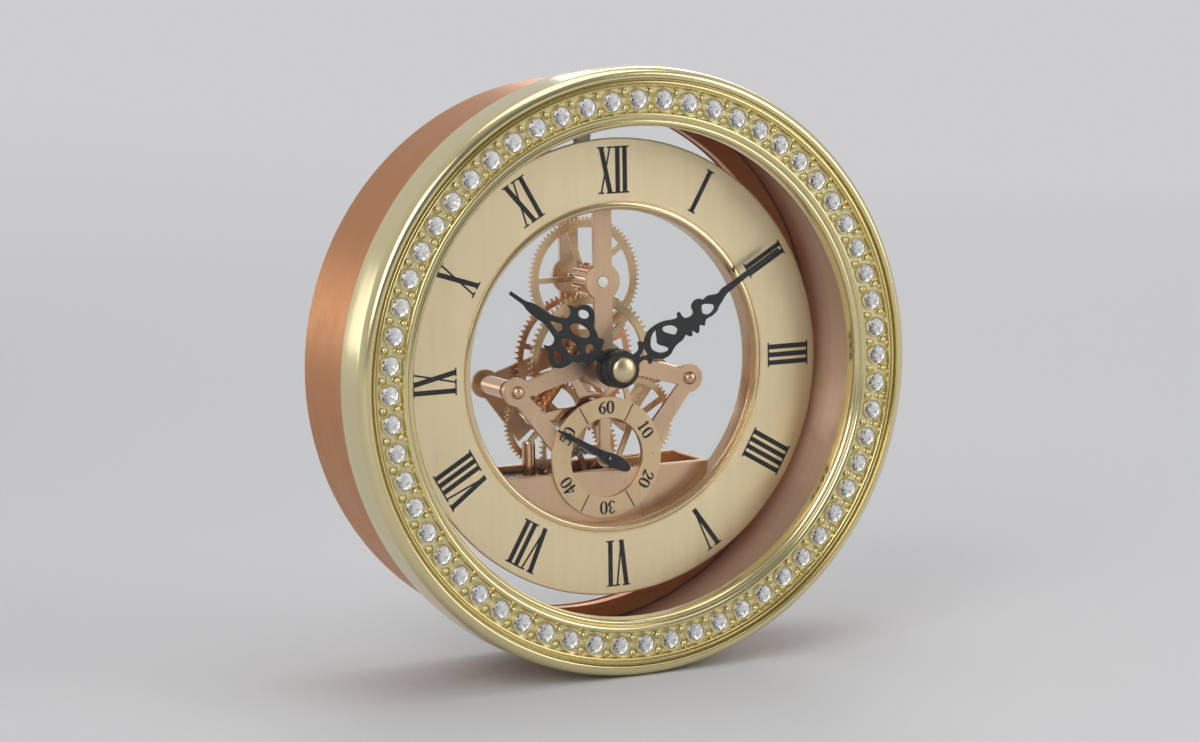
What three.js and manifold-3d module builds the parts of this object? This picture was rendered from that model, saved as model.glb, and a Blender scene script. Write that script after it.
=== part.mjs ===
// Skeleton gear clock in a round drum case, built from named pieces.
// Millimetres, +Z up, the dial faces -Y and the rim that meets the wall lies in the plane Y = 0.
// The origin is where the wall screw that the clock hangs on meets the wall.
// Pieces are drawn about the dial's axis, with depths counted backwards from the plane of the
// bezel stones and turned into Y by at(); add() then moves them down from the screw.

import * as THREE from 'three';
import Module from 'manifold-3d';

const wasm = await Module();
wasm.setup();

// Driving dimensions.
const FIT = 0.1;
const GAP = 0.3;

// Sides of the large rings, of the rings inside the case, of small round pieces and of the finest pins.
const ROUND = 48;
const INNER = 36;
const SMALL = 16;
const FINE = 10;

const BEZEL_R = 80;
const BEZEL_SKIRT = 12.2;
const BEZEL_LIP_R = BEZEL_R - 15.4;
const BEZEL_BACK = 4.2;
const STONE_COUNT = 60;
const STONE_CIRCLE_R = BEZEL_R - 8.4;
const STONE_R = 2.38;
const CHANNEL_HALF = 3.4;
const CHANNEL_FLOOR = 0.8;

const CASE_R = BEZEL_R - 4.4;
const CASE_WALL = 1.5;
const SEAT_WIDTH = 5;
const PANE = 2;
const PANE_SINK = 0.6;
const SPACER = 1;

const DIAL_R = 60.8;
const DIAL_BORE_R = 42.5;
const DIAL_FRONT = 15.6;
const DIAL_SHEET = 1;
const RIM_BAND = 1.4;
const RIM_RISE = 0.4;
const HOOP_BORE_R = 41.8;
const HOOP_WALL = 1.5;
const HOOP_DEPTH = 5.4;

const PLATE = 1.2;
const ARM_WIDTH = 5.4;
const BOSS_X = 25.65;
const BOSS_Z = -5.4;
const TOP_PILLAR_Z = 47;
const PILLAR_R = 2.6;
const TENON_R = 1.2;

const MOTION_DISTANCE = 22.2;
const SECONDS_Z = -24.8;
const SUB_DIAL_R = 16.3;
const SUB_DIAL_BORE_R = 10.7;
const SUB_DIAL_SHEET = 0.7;

const ARBOR_R = 0.45;
const MINUTE_ARBOR_R = 1;
const HOUR_PIPE_R = 2.6;
const COLLAR_R = 5.2;
const WHEEL = 0.8;

const BASE_HALF = 32;
const BASE_TOP = -28.2;
const BASE_R = 54;
const BASE_WALL = 1.2;
const SHELF = -31;
const WELL_FLOOR = -37;
const WELL_HALF = 13;
const BAY_INSET = 1.25;
const HANGER_HALF_X = 9;
const HANGER_HALF_Z = 8;
const KEYHOLE_R = 3.9;
const KEYHOLE_RISE = 4.4;
const BATTERY_R = 5.25;
const BATTERY_LENGTH = 44.5;

// Tooth counts. Minute to hour is 12 to 1, seconds to centre is 60 to 1, rotor to seconds is 30 to 1.
const CANNON_TEETH = 30;
const MOTION_TEETH = 80;
const DRUM_LEAVES = 16;
const HOUR_TEETH = 72;
const SECONDS_LEAVES = 8;
const THIRD_TEETH = 60;
const THIRD_LEAVES = 9;
const CENTRE_TEETH = 72;
const SECONDS_TEETH = 50;
const INTER_LEAVES = 10;
const INTER_TEETH = 60;
const ROTOR_LEAVES = 10;
const FINE_MODULE = 0.4;
const THIRD_MODULE = 0.48;

const MINUTE_ANGLE = 58.5;
const HOUR_ANGLE = 305.5;
const SECONDS_ANGLE = 300;

// Depths of the stack, front to back: hands, dial, front plate, wheels, rear plate, rear pane.
const HOUR_HAND = DIAL_FRONT - 1.1;
const MINUTE_HAND = HOUR_HAND - 3.4;
const SECONDS_HAND = DIAL_FRONT + 4;
const HAND_SHEET = 0.5;
const DIAL_BACK = DIAL_FRONT + DIAL_SHEET;
const PLATE_FRONT = DIAL_BACK + HOOP_DEPTH;
const PLATE_BACK = PLATE_FRONT + PLATE;
const SUB_DIAL_FRONT = PLATE_FRONT - SUB_DIAL_SHEET;
const INTER_WHEEL = PLATE_BACK + 3.4;
const COCK = 0.7;
const COCK_FRONT = INTER_WHEEL + 1.6;
const HOUR_WHEEL = INTER_WHEEL + 3.2;
const MOTION_WHEEL = HOUR_WHEEL + 3.2;
const THIRD_WHEEL = MOTION_WHEEL + 3.2;
const SECONDS_WHEEL = THIRD_WHEEL + 2;
const CENTRE_WHEEL = SECONDS_WHEEL + 1.9;
const REAR_PLATE_FRONT = CENTRE_WHEEL + 1.9;
const REAR_PLATE_BACK = REAR_PLATE_FRONT + PLATE;
const REAR_PANE_FRONT = REAR_PLATE_BACK + SPACER;
const REAR_PANE_BACK = REAR_PANE_FRONT + PANE;
const REAR = REAR_PANE_BACK + PANE_SINK;

// Derived radii and places.
const at = (depth) => depth - REAR;
const CASE_BORE_R = CASE_R - CASE_WALL;
const PANE_R = CASE_BORE_R - GAP;
const SEAT_BORE_R = PANE_R - SEAT_WIDTH;
const HANGER_Z = SEAT_BORE_R - HANGER_HALF_Z - 0.8;
const SCREW_Z = HANGER_Z + KEYHOLE_RISE;
const BAY_HALF = BATTERY_LENGTH / 2 + 3.3;
const BAY_X = BASE_HALF - BAY_INSET - BASE_WALL - BAY_HALF;
const BAY_TOP = WELL_FLOOR - BASE_WALL;
const BAY_BOTTOM = BAY_TOP - 2 * BATTERY_R - 4 * FIT;
const BASE_BOTTOM = BAY_BOTTOM - BASE_WALL;

const MOTION_MODULE = 2 * MOTION_DISTANCE / (CANNON_TEETH + MOTION_TEETH);
const DRUM_MODULE = 2 * MOTION_DISTANCE / (DRUM_LEAVES + HOUR_TEETH);
const THIRD_DISTANCE = (SECONDS_LEAVES + THIRD_TEETH) / 2 * FINE_MODULE;
const CENTRE_DISTANCE = (THIRD_LEAVES + CENTRE_TEETH) / 2 * THIRD_MODULE;
const SECONDS_MODULE = 2 * THIRD_DISTANCE / (SECONDS_TEETH + INTER_LEAVES);
const ROTOR_DISTANCE = (ROTOR_LEAVES + INTER_TEETH) / 2 * FINE_MODULE;

// The third and intermediate arbors lie on two circles, one about the centre and one about the seconds arbor.
const SIDE_Z = -(CENTRE_DISTANCE ** 2 - THIRD_DISTANCE ** 2 + SECONDS_Z ** 2) / (2 * -SECONDS_Z);
const SIDE_X = Math.sqrt(CENTRE_DISTANCE ** 2 - SIDE_Z ** 2);
const ROTOR_LEAN = THREE.MathUtils.degToRad(162);
const CENTRE = [0, 0];
const UPPER = [0, MOTION_DISTANCE];
const SECONDS = [0, SECONDS_Z];
const THIRD = [-SIDE_X, SIDE_Z];
const INTER = [SIDE_X, SIDE_Z];
const ROTOR = [
  INTER[0] + ROTOR_DISTANCE * Math.cos(ROTOR_LEAN),
  INTER[1] + ROTOR_DISTANCE * Math.sin(ROTOR_LEAN),
];
const BOSSES = [[-BOSS_X, BOSS_Z], [BOSS_X, BOSS_Z], [0, TOP_PILLAR_Z]];

const clock = new THREE.Group();
clock.name = 'gear_wall_clock';

// Colours and finishes.
const finish = (color, roughness, metalness, opacity = 1) => (
  { color, roughness, metalness, opacity, transparent: opacity < 1 }
);
const GOLD = finish(0xd8c67c, 0.22, 1);
const COPPER = finish(0xb87e58, 0.38, 1);
const CHAMPAGNE = finish(0xd0c09e, 0.42, 0.8);
const BRIGHT = finish(0xe6d9b4, 0.15, 1);
const ROSE = finish(0xb99b87, 0.36, 0.9);
const ROSE_BRIGHT = finish(0xc08a66, 0.18, 1);
const BRASS = finish(0xd7be93, 0.3, 1);
const BLACK = finish(0x1e2022, 0.45, 0.3);
const STEEL = finish(0xb8bcc0, 0.3, 1);
const GLASS = finish(0xf2f6f8, 0.03, 0, 0.3);
const CRYSTAL = finish(0xf4f2f6, 0.04, 0, 0.8);

// Closed solid from any three.js geometry: corners at the same place become one.
function solid(geometry) {
  const position = geometry.getAttribute('position');
  const index = geometry.index;
  const corners = index ? index.count : position.count;
  const seen = new Map();
  const vertices = [];
  const ids = [];
  for (let i = 0; i < corners; i += 1) {
    const v = index ? index.getX(i) : i;
    const point = [position.getX(v), position.getY(v), position.getZ(v)];
    const key = point.map((value) => Math.round(value * 1e4)).join(',');
    if (!seen.has(key)) {
      seen.set(key, vertices.length / 3);
      vertices.push(...point);
    }
    ids.push(seen.get(key));
  }
  const triangles = [];
  for (let i = 0; i < ids.length; i += 3) {
    const [a, b, c] = ids.slice(i, i + 3);
    if (a !== b && b !== c && c !== a) {
      triangles.push(a, b, c);
    }
  }
  return new wasm.Manifold(new wasm.Mesh({
    numProp: 3,
    vertProperties: new Float32Array(vertices),
    triVerts: new Uint32Array(triangles),
  }));
}

// Named mesh from a closed solid.
function add(name, body, look) {
  const mesh = body.getMesh();
  const geometry = new THREE.BufferGeometry();
  geometry.setAttribute('position', new THREE.BufferAttribute(new Float32Array(mesh.vertProperties), 3));
  geometry.setIndex(new THREE.BufferAttribute(new Uint32Array(mesh.triVerts), 1));
  geometry.translate(0, 0, -SCREW_Z);
  geometry.computeVertexNormals();
  const piece = new THREE.Mesh(geometry, new THREE.MeshStandardMaterial(look));
  piece.name = name;
  clock.add(piece);
}

// Flat piece: an outline in X and Z, thick from depth d0 to depth d1.
function flat(shape, d0, d1, curveSegments = 5) {
  const geometry = new THREE.ExtrudeGeometry(shape, { depth: d1 - d0, bevelEnabled: false, curveSegments });
  geometry.rotateX(Math.PI / 2);
  geometry.translate(0, at(d1), 0);
  return solid(geometry);
}

// Turned piece about an axis along Y through (x, z): a closed loop of [radius, depth] points.
function turned(loop, segments = SMALL, [x, z] = CENTRE) {
  const points = [...loop, loop[0]].map(([r, depth]) => new THREE.Vector2(r, at(depth)));
  let area = 0;
  for (let i = 1; i < points.length; i += 1) {
    area += points[i - 1].cross(points[i]);
  }
  const ordered = area > 0 ? points : points.reverse();
  const geometry = new THREE.LatheGeometry(ordered, segments);
  geometry.translate(x, 0, z);
  return solid(geometry);
}

const disc = (r, d0, d1, centre = CENTRE, segments = SMALL) => (
  turned([[0, d0], [r, d0], [r, d1], [0, d1]], segments, centre)
);
const ring = (r0, r1, d0, d1, centre = CENTRE, segments = SMALL) => (
  turned([[r0, d0], [r1, d0], [r1, d1], [r0, d1]], segments, centre)
);

function box(x0, x1, d0, d1, z0, z1) {
  const geometry = new THREE.BoxGeometry(x1 - x0, d1 - d0, z1 - z0);
  geometry.translate((x0 + x1) / 2, at((d0 + d1) / 2), (z0 + z1) / 2);
  return solid(geometry);
}

const union = (bodies) => bodies.reduce((whole, body) => whole.add(body));
const cut = (body, tools) => tools.reduce((left, tool) => left.subtract(tool), body);

function shapeOf(points) {
  return new THREE.Shape(points.map(([x, z]) => new THREE.Vector2(x, z)));
}

function ellipse(x, z, rx, rz, lean = 0) {
  const path = new THREE.Path();
  path.absellipse(x, z, rx, rz, 0, 2 * Math.PI, true, THREE.MathUtils.degToRad(lean));
  return path;
}

// Tapered bar between two points, with its own width at each end.
function link([x0, z0], w0, [x1, z1], w1, d0, d1) {
  const length = Math.hypot(x1 - x0, z1 - z0);
  const nx = -(z1 - z0) / length / 2;
  const nz = (x1 - x0) / length / 2;
  return flat(shapeOf([
    [x0 - nx * w0, z0 - nz * w0],
    [x1 - nx * w1, z1 - nz * w1],
    [x1 + nx * w1, z1 + nz * w1],
    [x0 + nx * w0, z0 + nz * w0],
  ]), d0, d1);
}

// Gears. Teeth are given as [distance from the pitch circle in modules, half width in tooth pitches].
const WHEEL_TOOTH = [[-0.95, -0.29], [0.8, -0.12], [0.8, 0.12], [-0.95, 0.29]];
const LEAF = [[-1.2, -0.17], [0, -0.17], [0.55, -0.06], [0.55, 0.06], [0, 0.17], [-1.2, 0.17]];

function gearShape(teeth, module, phase, tooth) {
  const pitch = 2 * Math.PI / teeth;
  const radius = teeth * module / 2;
  const points = [];
  for (let i = 0; i < teeth; i += 1) {
    for (const [rise, half] of tooth) {
      const r = radius + rise * module;
      const angle = phase + (i + half) * pitch;
      points.push([r * Math.cos(angle), r * Math.sin(angle)]);
    }
  }
  return shapeOf(points);
}

// Window between two spokes, with straight sides and curved ends.
function spokeWindow(inner, outer, half, from, to) {
  const corner = (r, angle, side) => angle + side * Math.asin(half / r);
  const path = new THREE.Path();
  path.absarc(0, 0, outer, corner(outer, from, 1), corner(outer, to, -1), false);
  path.absarc(0, 0, inner, corner(inner, to, -1), corner(inner, from, 1), true);
  return path;
}

function wheel({ teeth, module, phase, depth, centre, bore, hub, rim = 1.5, lean = 0 }) {
  const spokes = 5;
  const shape = gearShape(teeth, module, phase, WHEEL_TOOTH);
  const outer = (teeth / 2 - 0.95) * module - rim;
  for (let i = 0; i < spokes; i += 1) {
    const from = lean + i * 2 * Math.PI / spokes;
    shape.holes.push(spokeWindow(hub, outer, 0.75, from, from + 2 * Math.PI / spokes));
  }
  const body = flat(shape, depth, depth + WHEEL, 2).translate([centre[0], 0, centre[1]]);
  return body.subtract(disc(bore, depth - 1, depth + WHEEL + 1, centre, 12));
}

function pinion(teeth, module, phase, d0, d1, centre) {
  return flat(gearShape(teeth, module, phase, LEAF), d0, d1).translate([centre[0], 0, centre[1]]);
}

// Phase that puts a gap of the second gear opposite a tooth of the first.
function meshPhase(first, second, firstTeeth, firstPhase, secondTeeth) {
  const line = Math.atan2(second[1] - first[1], second[0] - first[0]);
  const along = (line - firstPhase) * firstTeeth / (2 * Math.PI);
  return line + Math.PI - (0.5 - along) * 2 * Math.PI / secondTeeth;
}

// Case, bezel and panes.
function addCase() {
  const channelOuter = STONE_CIRCLE_R + CHANNEL_HALF;
  const channelInner = STONE_CIRCLE_R - CHANNEL_HALF;
  const skirtBore = CASE_R + GAP;
  add('bezel', turned([
    [BEZEL_R, BEZEL_SKIRT],
    [BEZEL_R, 1.6],
    [BEZEL_R - 1, -0.5],
    [BEZEL_R - 2.7, -1.1],
    [channelOuter + 0.6, -0.5],
    [channelOuter, CHANNEL_FLOOR],
    [channelInner, CHANNEL_FLOOR],
    [channelInner - 0.8, -0.5],
    [BEZEL_LIP_R + 1.3, 0.5],
    [BEZEL_LIP_R, 3],
    [BEZEL_LIP_R, BEZEL_BACK],
    [skirtBore, BEZEL_BACK],
    [skirtBore, BEZEL_SKIRT],
  ], ROUND), GOLD);
  add('case_tube', ring(CASE_BORE_R, CASE_R, BEZEL_BACK, REAR, CENTRE, ROUND), COPPER);
  add('front_glass', disc(PANE_R, BEZEL_BACK, BEZEL_BACK + PANE, CENTRE, ROUND), GLASS);
  add('glass_ring', ring(SEAT_BORE_R, PANE_R, BEZEL_BACK + PANE, BEZEL_BACK + 2 * PANE, CENTRE, INNER), COPPER);
}

// Sixty stones stand on one thin band that lies in the channel of the bezel.
function addStones() {
  const bandTop = CHANNEL_FLOOR - 0.25;
  const bandHalf = STONE_R + 0.15;
  const bandBore = STONE_CIRCLE_R - bandHalf;
  const stones = [ring(bandBore, bandBore + 2 * bandHalf, bandTop, CHANNEL_FLOOR, CENTRE, ROUND)];
  for (let i = 0; i < STONE_COUNT; i += 1) {
    const angle = i * 2 * Math.PI / STONE_COUNT;
    const centre = [STONE_CIRCLE_R * Math.sin(angle), STONE_CIRCLE_R * Math.cos(angle)];
    stones.push(turned([[0, -0.7], [1.3, -0.7], [STONE_R, bandTop], [0, bandTop]], 5, centre));
  }
  add('crystal_band', union(stones), CRYSTAL);
}

function addDial() {
  add('dial_ring', ring(DIAL_BORE_R, DIAL_R, DIAL_FRONT, DIAL_BACK, CENTRE, ROUND), CHAMPAGNE);
  const rimFront = DIAL_FRONT - RIM_RISE;
  add('dial_rim', ring(DIAL_BORE_R, DIAL_BORE_R + RIM_BAND, rimFront, DIAL_FRONT, CENTRE, ROUND), BRIGHT);
  const hoopR = HOOP_BORE_R + HOOP_WALL;
  add('dial_hoop', ring(HOOP_BORE_R, hoopR, DIAL_BACK, PLATE_FRONT, CENTRE, ROUND), ROSE_BRIGHT);
}

// Arms shared by the front and rear plates.
function plateArms(d0, d1) {
  const parts = [
    link([0, 0], ARM_WIDTH, [0, TOP_PILLAR_Z], ARM_WIDTH, d0, d1),
    disc(3.6, d0, d1, BOSSES[2], 12),
    disc(5, d0, d1, UPPER, 20),
    disc(6.2, d0, d1, CENTRE, 16),
  ];
  for (const side of [-1, 1]) {
    const boss = [side * BOSS_X, BOSS_Z];
    parts.push(disc(3.9, d0, d1, boss));
    parts.push(link([side * (BOSS_X - 0.4), BOSS_Z - 0.2], 4.2, [side * 4, 0.7], 5, d0, d1));
    parts.push(link([side * (BOSS_X - 1), BOSS_Z - 1.8], 4.2, [side * (SIDE_X + 3.4), SIDE_Z - 4], 5, d0, d1));
  }
  return parts;
}

function addPlates() {
  const d0 = PLATE_FRONT;
  const d1 = PLATE_BACK;
  const through = (r, centre, segments = FINE) => disc(r, d0 - 1, d1 + 1, centre, segments);
  const front = union([
    ...plateArms(d0, d1),
    ring(SUB_DIAL_BORE_R + 0.2, SUB_DIAL_R - 0.4, d0, d1, SECONDS, 32),
    link([0, SECONDS_Z + SUB_DIAL_BORE_R + 1], 3, SECONDS, 3, d0, d1),
    disc(2.6, d0, d1, SECONDS, 12),
  ]);
  add('front_plate', cut(front, [
    box(-BASE_HALF, BASE_HALF, d0 - 1, d1 + 1, BASE_BOTTOM, BASE_TOP + GAP),
    through(HOUR_PIPE_R + GAP, CENTRE, SMALL),
    through(1.6, UPPER),
    through(ARBOR_R + 0.25, SECONDS),
    ...[THIRD, INTER, ROTOR].map((centre) => through(ARBOR_R + 0.15, centre)),
    ...BOSSES.map((centre) => through(1, centre)),
  ]), ROSE);

  const r0 = REAR_PLATE_FRONT;
  const r1 = REAR_PLATE_BACK;
  const rear = union([
    ...plateArms(r0, r1),
    link(THIRD, 5, INTER, 5, r0, r1),
    disc(3, r0, r1, THIRD),
    disc(3, r0, r1, INTER),
    link([0, SIDE_Z], 5, SECONDS, 5, r0, r1),
    disc(2.8, r0, r1, SECONDS),
  ]);
  const rearThrough = (r, centre) => disc(r, r0 - 1, r1 + 1, centre, FINE);
  add('rear_plate', cut(rear, [
    rearThrough(MINUTE_ARBOR_R + GAP, CENTRE),
    ...[UPPER, SECONDS, THIRD, INTER].map((centre) => rearThrough(ARBOR_R + 0.15, centre)),
    ...BOSSES.map((centre) => rearThrough(TENON_R + FIT, centre)),
  ]), ROSE);

  add('upper_jewel', cut(turned([[0, d0 - 0.3], [1.1, d0 - 0.3], [1.5, d0], [1.5, d1], [0, d1]], FINE, UPPER), [
    disc(ARBOR_R + 0.15, d0 + 0.2, d1 + 1, UPPER, FINE),
  ]), finish(0xf0ece6, 0.2, 0));
}

function addPillars() {
  const names = ['left', 'right', 'top'];
  BOSSES.forEach((centre, i) => {
    const body = turned([
      [0, PLATE_BACK],
      [PILLAR_R, PLATE_BACK],
      [PILLAR_R, REAR_PLATE_FRONT],
      [TENON_R, REAR_PLATE_FRONT],
      [TENON_R, REAR_PANE_BACK],
      [0, REAR_PANE_BACK],
    ], SMALL, centre);
    const tapped = disc(1, PLATE_BACK - 1, PLATE_BACK + 2.2, centre, FINE);
    add(`pillar_${names[i]}`, body.subtract(tapped), ROSE_BRIGHT);
    const head = PLATE_FRONT;
    add(`screw_${names[i]}`, turned([
      [0, head - 1.3], [1.1, head - 1], [1.8, head - 0.2], [1.8, head],
      [0.8, head], [0.8, PLATE_BACK + 2], [0, PLATE_BACK + 2],
    ], 12, centre), BRIGHT);
    add(`spacer_${names[i]}`, ring(
      TENON_R + FIT,
      PILLAR_R,
      REAR_PLATE_BACK,
      REAR_PANE_FRONT,
      centre,
      12,
    ), ROSE_BRIGHT);
  });
}

// Open tray under the wheels with the cell bay below it.
function addBase() {
  const back = REAR_PLATE_BACK - 0.2;
  const innerFront = PLATE_BACK + BASE_WALL;
  const innerBack = back - BASE_WALL;
  const innerHalf = BASE_HALF - BASE_WALL;
  const wallLeft = BAY_X - BAY_HALF - BASE_WALL;
  const wallRight = BAY_X + BAY_HALF + BASE_WALL;
  const block = union([
    box(-BASE_HALF, BASE_HALF, PLATE_BACK, back, SHELF - BASE_WALL, BASE_TOP),
    box(wallLeft, wallRight, PLATE_BACK, REAR_PANE_FRONT, BASE_BOTTOM, BAY_TOP + BASE_WALL),
    box(-WELL_HALF - BASE_WALL, WELL_HALF + BASE_WALL, PLATE_BACK, back, BAY_TOP, SHELF),
  ]);
  add('base_box', cut(block, [
    box(-innerHalf, innerHalf, innerFront, innerBack, SHELF, BASE_TOP + 1),
    box(-WELL_HALF, WELL_HALF, innerFront, innerBack, WELL_FLOOR, SHELF + 1),
    box(BAY_X - BAY_HALF, BAY_X + BAY_HALF, innerFront, REAR, BAY_BOTTOM, BAY_TOP),
  ]), ROSE_BRIGHT);
  const front = box(-BASE_HALF, BASE_HALF, PLATE_FRONT, PLATE_BACK, BASE_BOTTOM, BASE_TOP);
  add('base_front', front.intersect(disc(BASE_R, PLATE_FRONT - 1, PLATE_BACK + 1, CENTRE, ROUND)), ROSE);

  const cellZ = BAY_BOTTOM + BATTERY_R + FIT;
  const cellDepth = innerFront + BATTERY_R + FIT;
  const lie = (loop, segments) => {
    const points = [...loop, loop[0]].map(([r, x]) => new THREE.Vector2(r, x));
    const geometry = new THREE.LatheGeometry(points, segments);
    geometry.rotateZ(-Math.PI / 2);
    geometry.translate(BAY_X, at(cellDepth), cellZ);
    return solid(geometry);
  };
  const half = BATTERY_LENGTH / 2;
  add('battery', lie([
    [0, -half], [BATTERY_R - 0.6, -half], [BATTERY_R, -half + 0.6], [BATTERY_R, half - 1.6],
    [BATTERY_R - 0.6, half - 1], [1.9, half - 1], [1.9, half], [0, half],
  ], 24), finish(0x3a3c40, 0.35, 0.2));
  add('contact_plus', box(
    BAY_X + half + FIT,
    BAY_X + BAY_HALF - FIT,
    cellDepth - 3,
    cellDepth + 3,
    BAY_BOTTOM,
    cellZ + 4,
  ), STEEL);
  const spring = [[0, -BAY_HALF + FIT], [4, -BAY_HALF + FIT]];
  for (let i = 0; i < 3; i += 1) {
    const x = -BAY_HALF + FIT + 0.4 + i * 0.9;
    spring.push([4 - i * 0.6, x], [3.3 - i * 0.6, x + 0.3], [3.4 - i * 0.6, x + 0.8]);
  }
  spring.push([2, -half - FIT], [0, -half - FIT]);
  add('contact_spring', lie(spring, 12), STEEL);

  // The driver board lies on the left shelf and carries the quartz can.
  const board = SHELF + 0.8;
  const boardRight = -WELL_HALF - GAP;
  const middle = (innerFront + innerBack) / 2;
  const boardLook = finish(0x5a4030, 0.5, 0);
  add('circuit_board', box(-innerHalf + GAP, boardRight, middle - 6, middle + 6, SHELF, board), boardLook);
  const canHeight = 9.6;
  const can = new THREE.CylinderGeometry(1.8, 1.8, canHeight, 14);
  can.rotateX(Math.PI / 2);
  can.translate(boardRight - 4.2, at(middle), board + canHeight / 2);
  add('quartz_can', solid(can), ROSE_BRIGHT);
}

// Clear rear pane between its seat and its retaining ring, with the cell door and the keyhole plate.
function addRear() {
  const windowHalf = BATTERY_LENGTH / 2 + 2;
  const windowTop = BAY_TOP - GAP;
  const windowBottom = BAY_BOTTOM + GAP;
  const hingeZ = windowBottom + 1;
  const hingeDepth = (REAR_PANE_FRONT + REAR_PANE_BACK) / 2;
  const pin = (r, x0, x1) => {
    const geometry = new THREE.CylinderGeometry(r, r, x1 - x0, FINE);
    geometry.rotateZ(Math.PI / 2);
    geometry.translate(BAY_X + (x0 + x1) / 2, at(hingeDepth), hingeZ);
    return solid(geometry);
  };
  const drilled = (r, centre) => disc(r, REAR_PANE_FRONT - 5, REAR, centre, FINE);
  const seat = (d0, d1) => ring(SEAT_BORE_R, PANE_R, d0, d1, CENTRE, INNER);
  add('rear_seat', seat(REAR_PANE_FRONT - 3, REAR_PANE_FRONT), COPPER);
  add('rear_ring', seat(REAR_PANE_BACK, REAR), COPPER);
  add('rear_pane', cut(disc(PANE_R, REAR_PANE_FRONT, REAR_PANE_BACK, CENTRE, ROUND), [
    ...BOSSES.map((centre) => drilled(TENON_R + FIT, centre)),
    drilled(5, CENTRE),
    drilled(KEYHOLE_R + 0.4, [0, HANGER_Z - 2]),
    drilled(KEYHOLE_R + 0.4, [0, SCREW_Z]),
    box(-KEYHOLE_R, KEYHOLE_R, REAR_PANE_FRONT - 1, REAR, HANGER_Z - 2, SCREW_Z),
    box(BAY_X - windowHalf, BAY_X + windowHalf, REAR_PANE_FRONT - 1, REAR, windowBottom, windowTop),
    pin(0.5, -windowHalf - 1.5, windowHalf + 1.5),
  ]), GLASS);
  const doorLeft = BAY_X - windowHalf + 0.4;
  const doorRight = BAY_X + windowHalf - 0.4;
  add('battery_door', union([
    box(doorLeft, doorRight, hingeDepth - 0.6, hingeDepth + 0.6, hingeZ - 0.6, windowTop - 0.4),
    pin(0.4, -windowHalf - 1.2, windowHalf + 1.2),
    box(BAY_X - 6, BAY_X + 6, hingeDepth + 0.5, hingeDepth + 0.9, windowTop - 3, windowTop - 2),
  ]), ROSE);

  const plate = new THREE.Shape();
  plate.absellipse(0, HANGER_Z, HANGER_HALF_X, HANGER_HALF_Z, 0, 2 * Math.PI, false);
  const keyhole = new THREE.Path();
  const slot = 1.9;
  const start = Math.acos(slot / KEYHOLE_R);
  keyhole.absarc(0, HANGER_Z - 2, KEYHOLE_R, Math.PI - start, 2 * Math.PI + start, false);
  keyhole.absarc(0, SCREW_Z, slot, 0, Math.PI, false);
  plate.holes.push(keyhole);
  add('hanger_plate', flat(plate, REAR_PANE_BACK, REAR, 8), STEEL);
}

// Hands, collars and cap.
const HOUR_HALF = [
  [1.7, 4.6], [1.6, 6.9], [3.6, 7.2], [4.2, 8.2], [3.8, 9.3], [4.7, 10.6], [5.5, 12.2], [6.8, 12.8],
  [8.6, 14.2], [9.4, 16.2], [8.6, 18.2], [7, 19.6], [6.5, 21.3], [6.1, 22.1], [5.6, 20.6], [4.6, 19.9],
  [3.2, 20.2], [2.6, 21.4], [1.7, 24.2], [1.5, 26], [1.5, 29], [1.1, 31.6], [0.65, 33], [0.5, 38],
];
const MINUTE_OUTLINE = [
  [1.6, 4.6], [1.3, 5.8], [2, 7.1], [3.3, 7.1], [3.5, 7.9], [2.8, 8.6], [3.5, 9.8], [4.7, 11.8], [4.8, 13.8],
  [4, 15.5], [3.7, 17], [3.7, 18.7], [3, 20.2], [4.3, 21.1], [4.3, 21.9], [3.2, 22.4], [4.8, 23.2], [4.7, 24],
  [3.3, 25], [4.4, 26.2], [3.2, 27.4], [3.4, 29.5], [3.2, 31.3], [2.4, 32.6], [1.9, 34], [1.1, 36], [0.9, 39],
  [0.45, 55.6], [-0.45, 55.6], [-0.9, 39], [-1.1, 36], [-0.7, 34.2], [-1.1, 33], [-1.9, 31.3], [-1.9, 29.4],
  [-2.7, 28.8], [-3.2, 27.2], [-2.4, 25.6], [-0.7, 25.2], [-0.3, 23.8], [-1.2, 22.2], [-3.2, 22], [-3.4, 21.2],
  [-2.3, 20.6], [-2.7, 19.2], [-3.8, 17], [-4.5, 14], [-4.2, 11], [-2.6, 8.8], [-3.4, 8.3], [-3.7, 7.4],
  [-1.9, 6.6], [-1.6, 4.6],
];
const MINUTE_HOLES = [
  [[-1.2, 8.1], [0, 5.9], [0.9, 8.1]],
  [[-3.4, 13.6], [-2.5, 11.5], [0, 9.9], [2.4, 11.2], [3.4, 13.2], [2.9, 14], [0.3, 12.1], [-1.2, 12.6]],
  [[-2.6, 15.8], [-1.6, 15.3], [0.8, 17.2], [1.1, 18], [0.2, 19], [-1.6, 18]],
  [[-0.8, 28.8], [-0.2, 27.9], [1.2, 27.5], [2.4, 28.8], [2.2, 30.6], [1, 31.2]],
];
const SECONDS_OUTLINE = [
  [1.75, -0.8], [1.1, 2.4], [0.65, 12.4], [1, 13.6], [0.5, 14.8], [0.28, 17.4], [-0.28, 17.4], [-0.5, 14.8],
  [-1, 13.6], [-0.65, 12.4], [-1.1, 2.4], [-1.75, -0.8], [-1.75, -3.4], [-1.3, -5.6], [-0.6, -6.8], [0.6, -6.8],
  [1.3, -5.6], [1.75, -3.4],
];

// A hand drawn pointing up, turned clockwise to its hour and set on its arbor.
function hand(shape, thickness, depth, hubR, bore, degrees, centre = CENTRE) {
  const blade = flat(shape, depth, depth + thickness, 5);
  const hub = disc(hubR, depth, depth + thickness, CENTRE, 24);
  const body = blade.add(hub).subtract(disc(bore, depth - 1, depth + thickness + 1, CENTRE, SMALL));
  return body.rotate([0, degrees, 0]).translate([centre[0], 0, centre[1]]);
}

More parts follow.
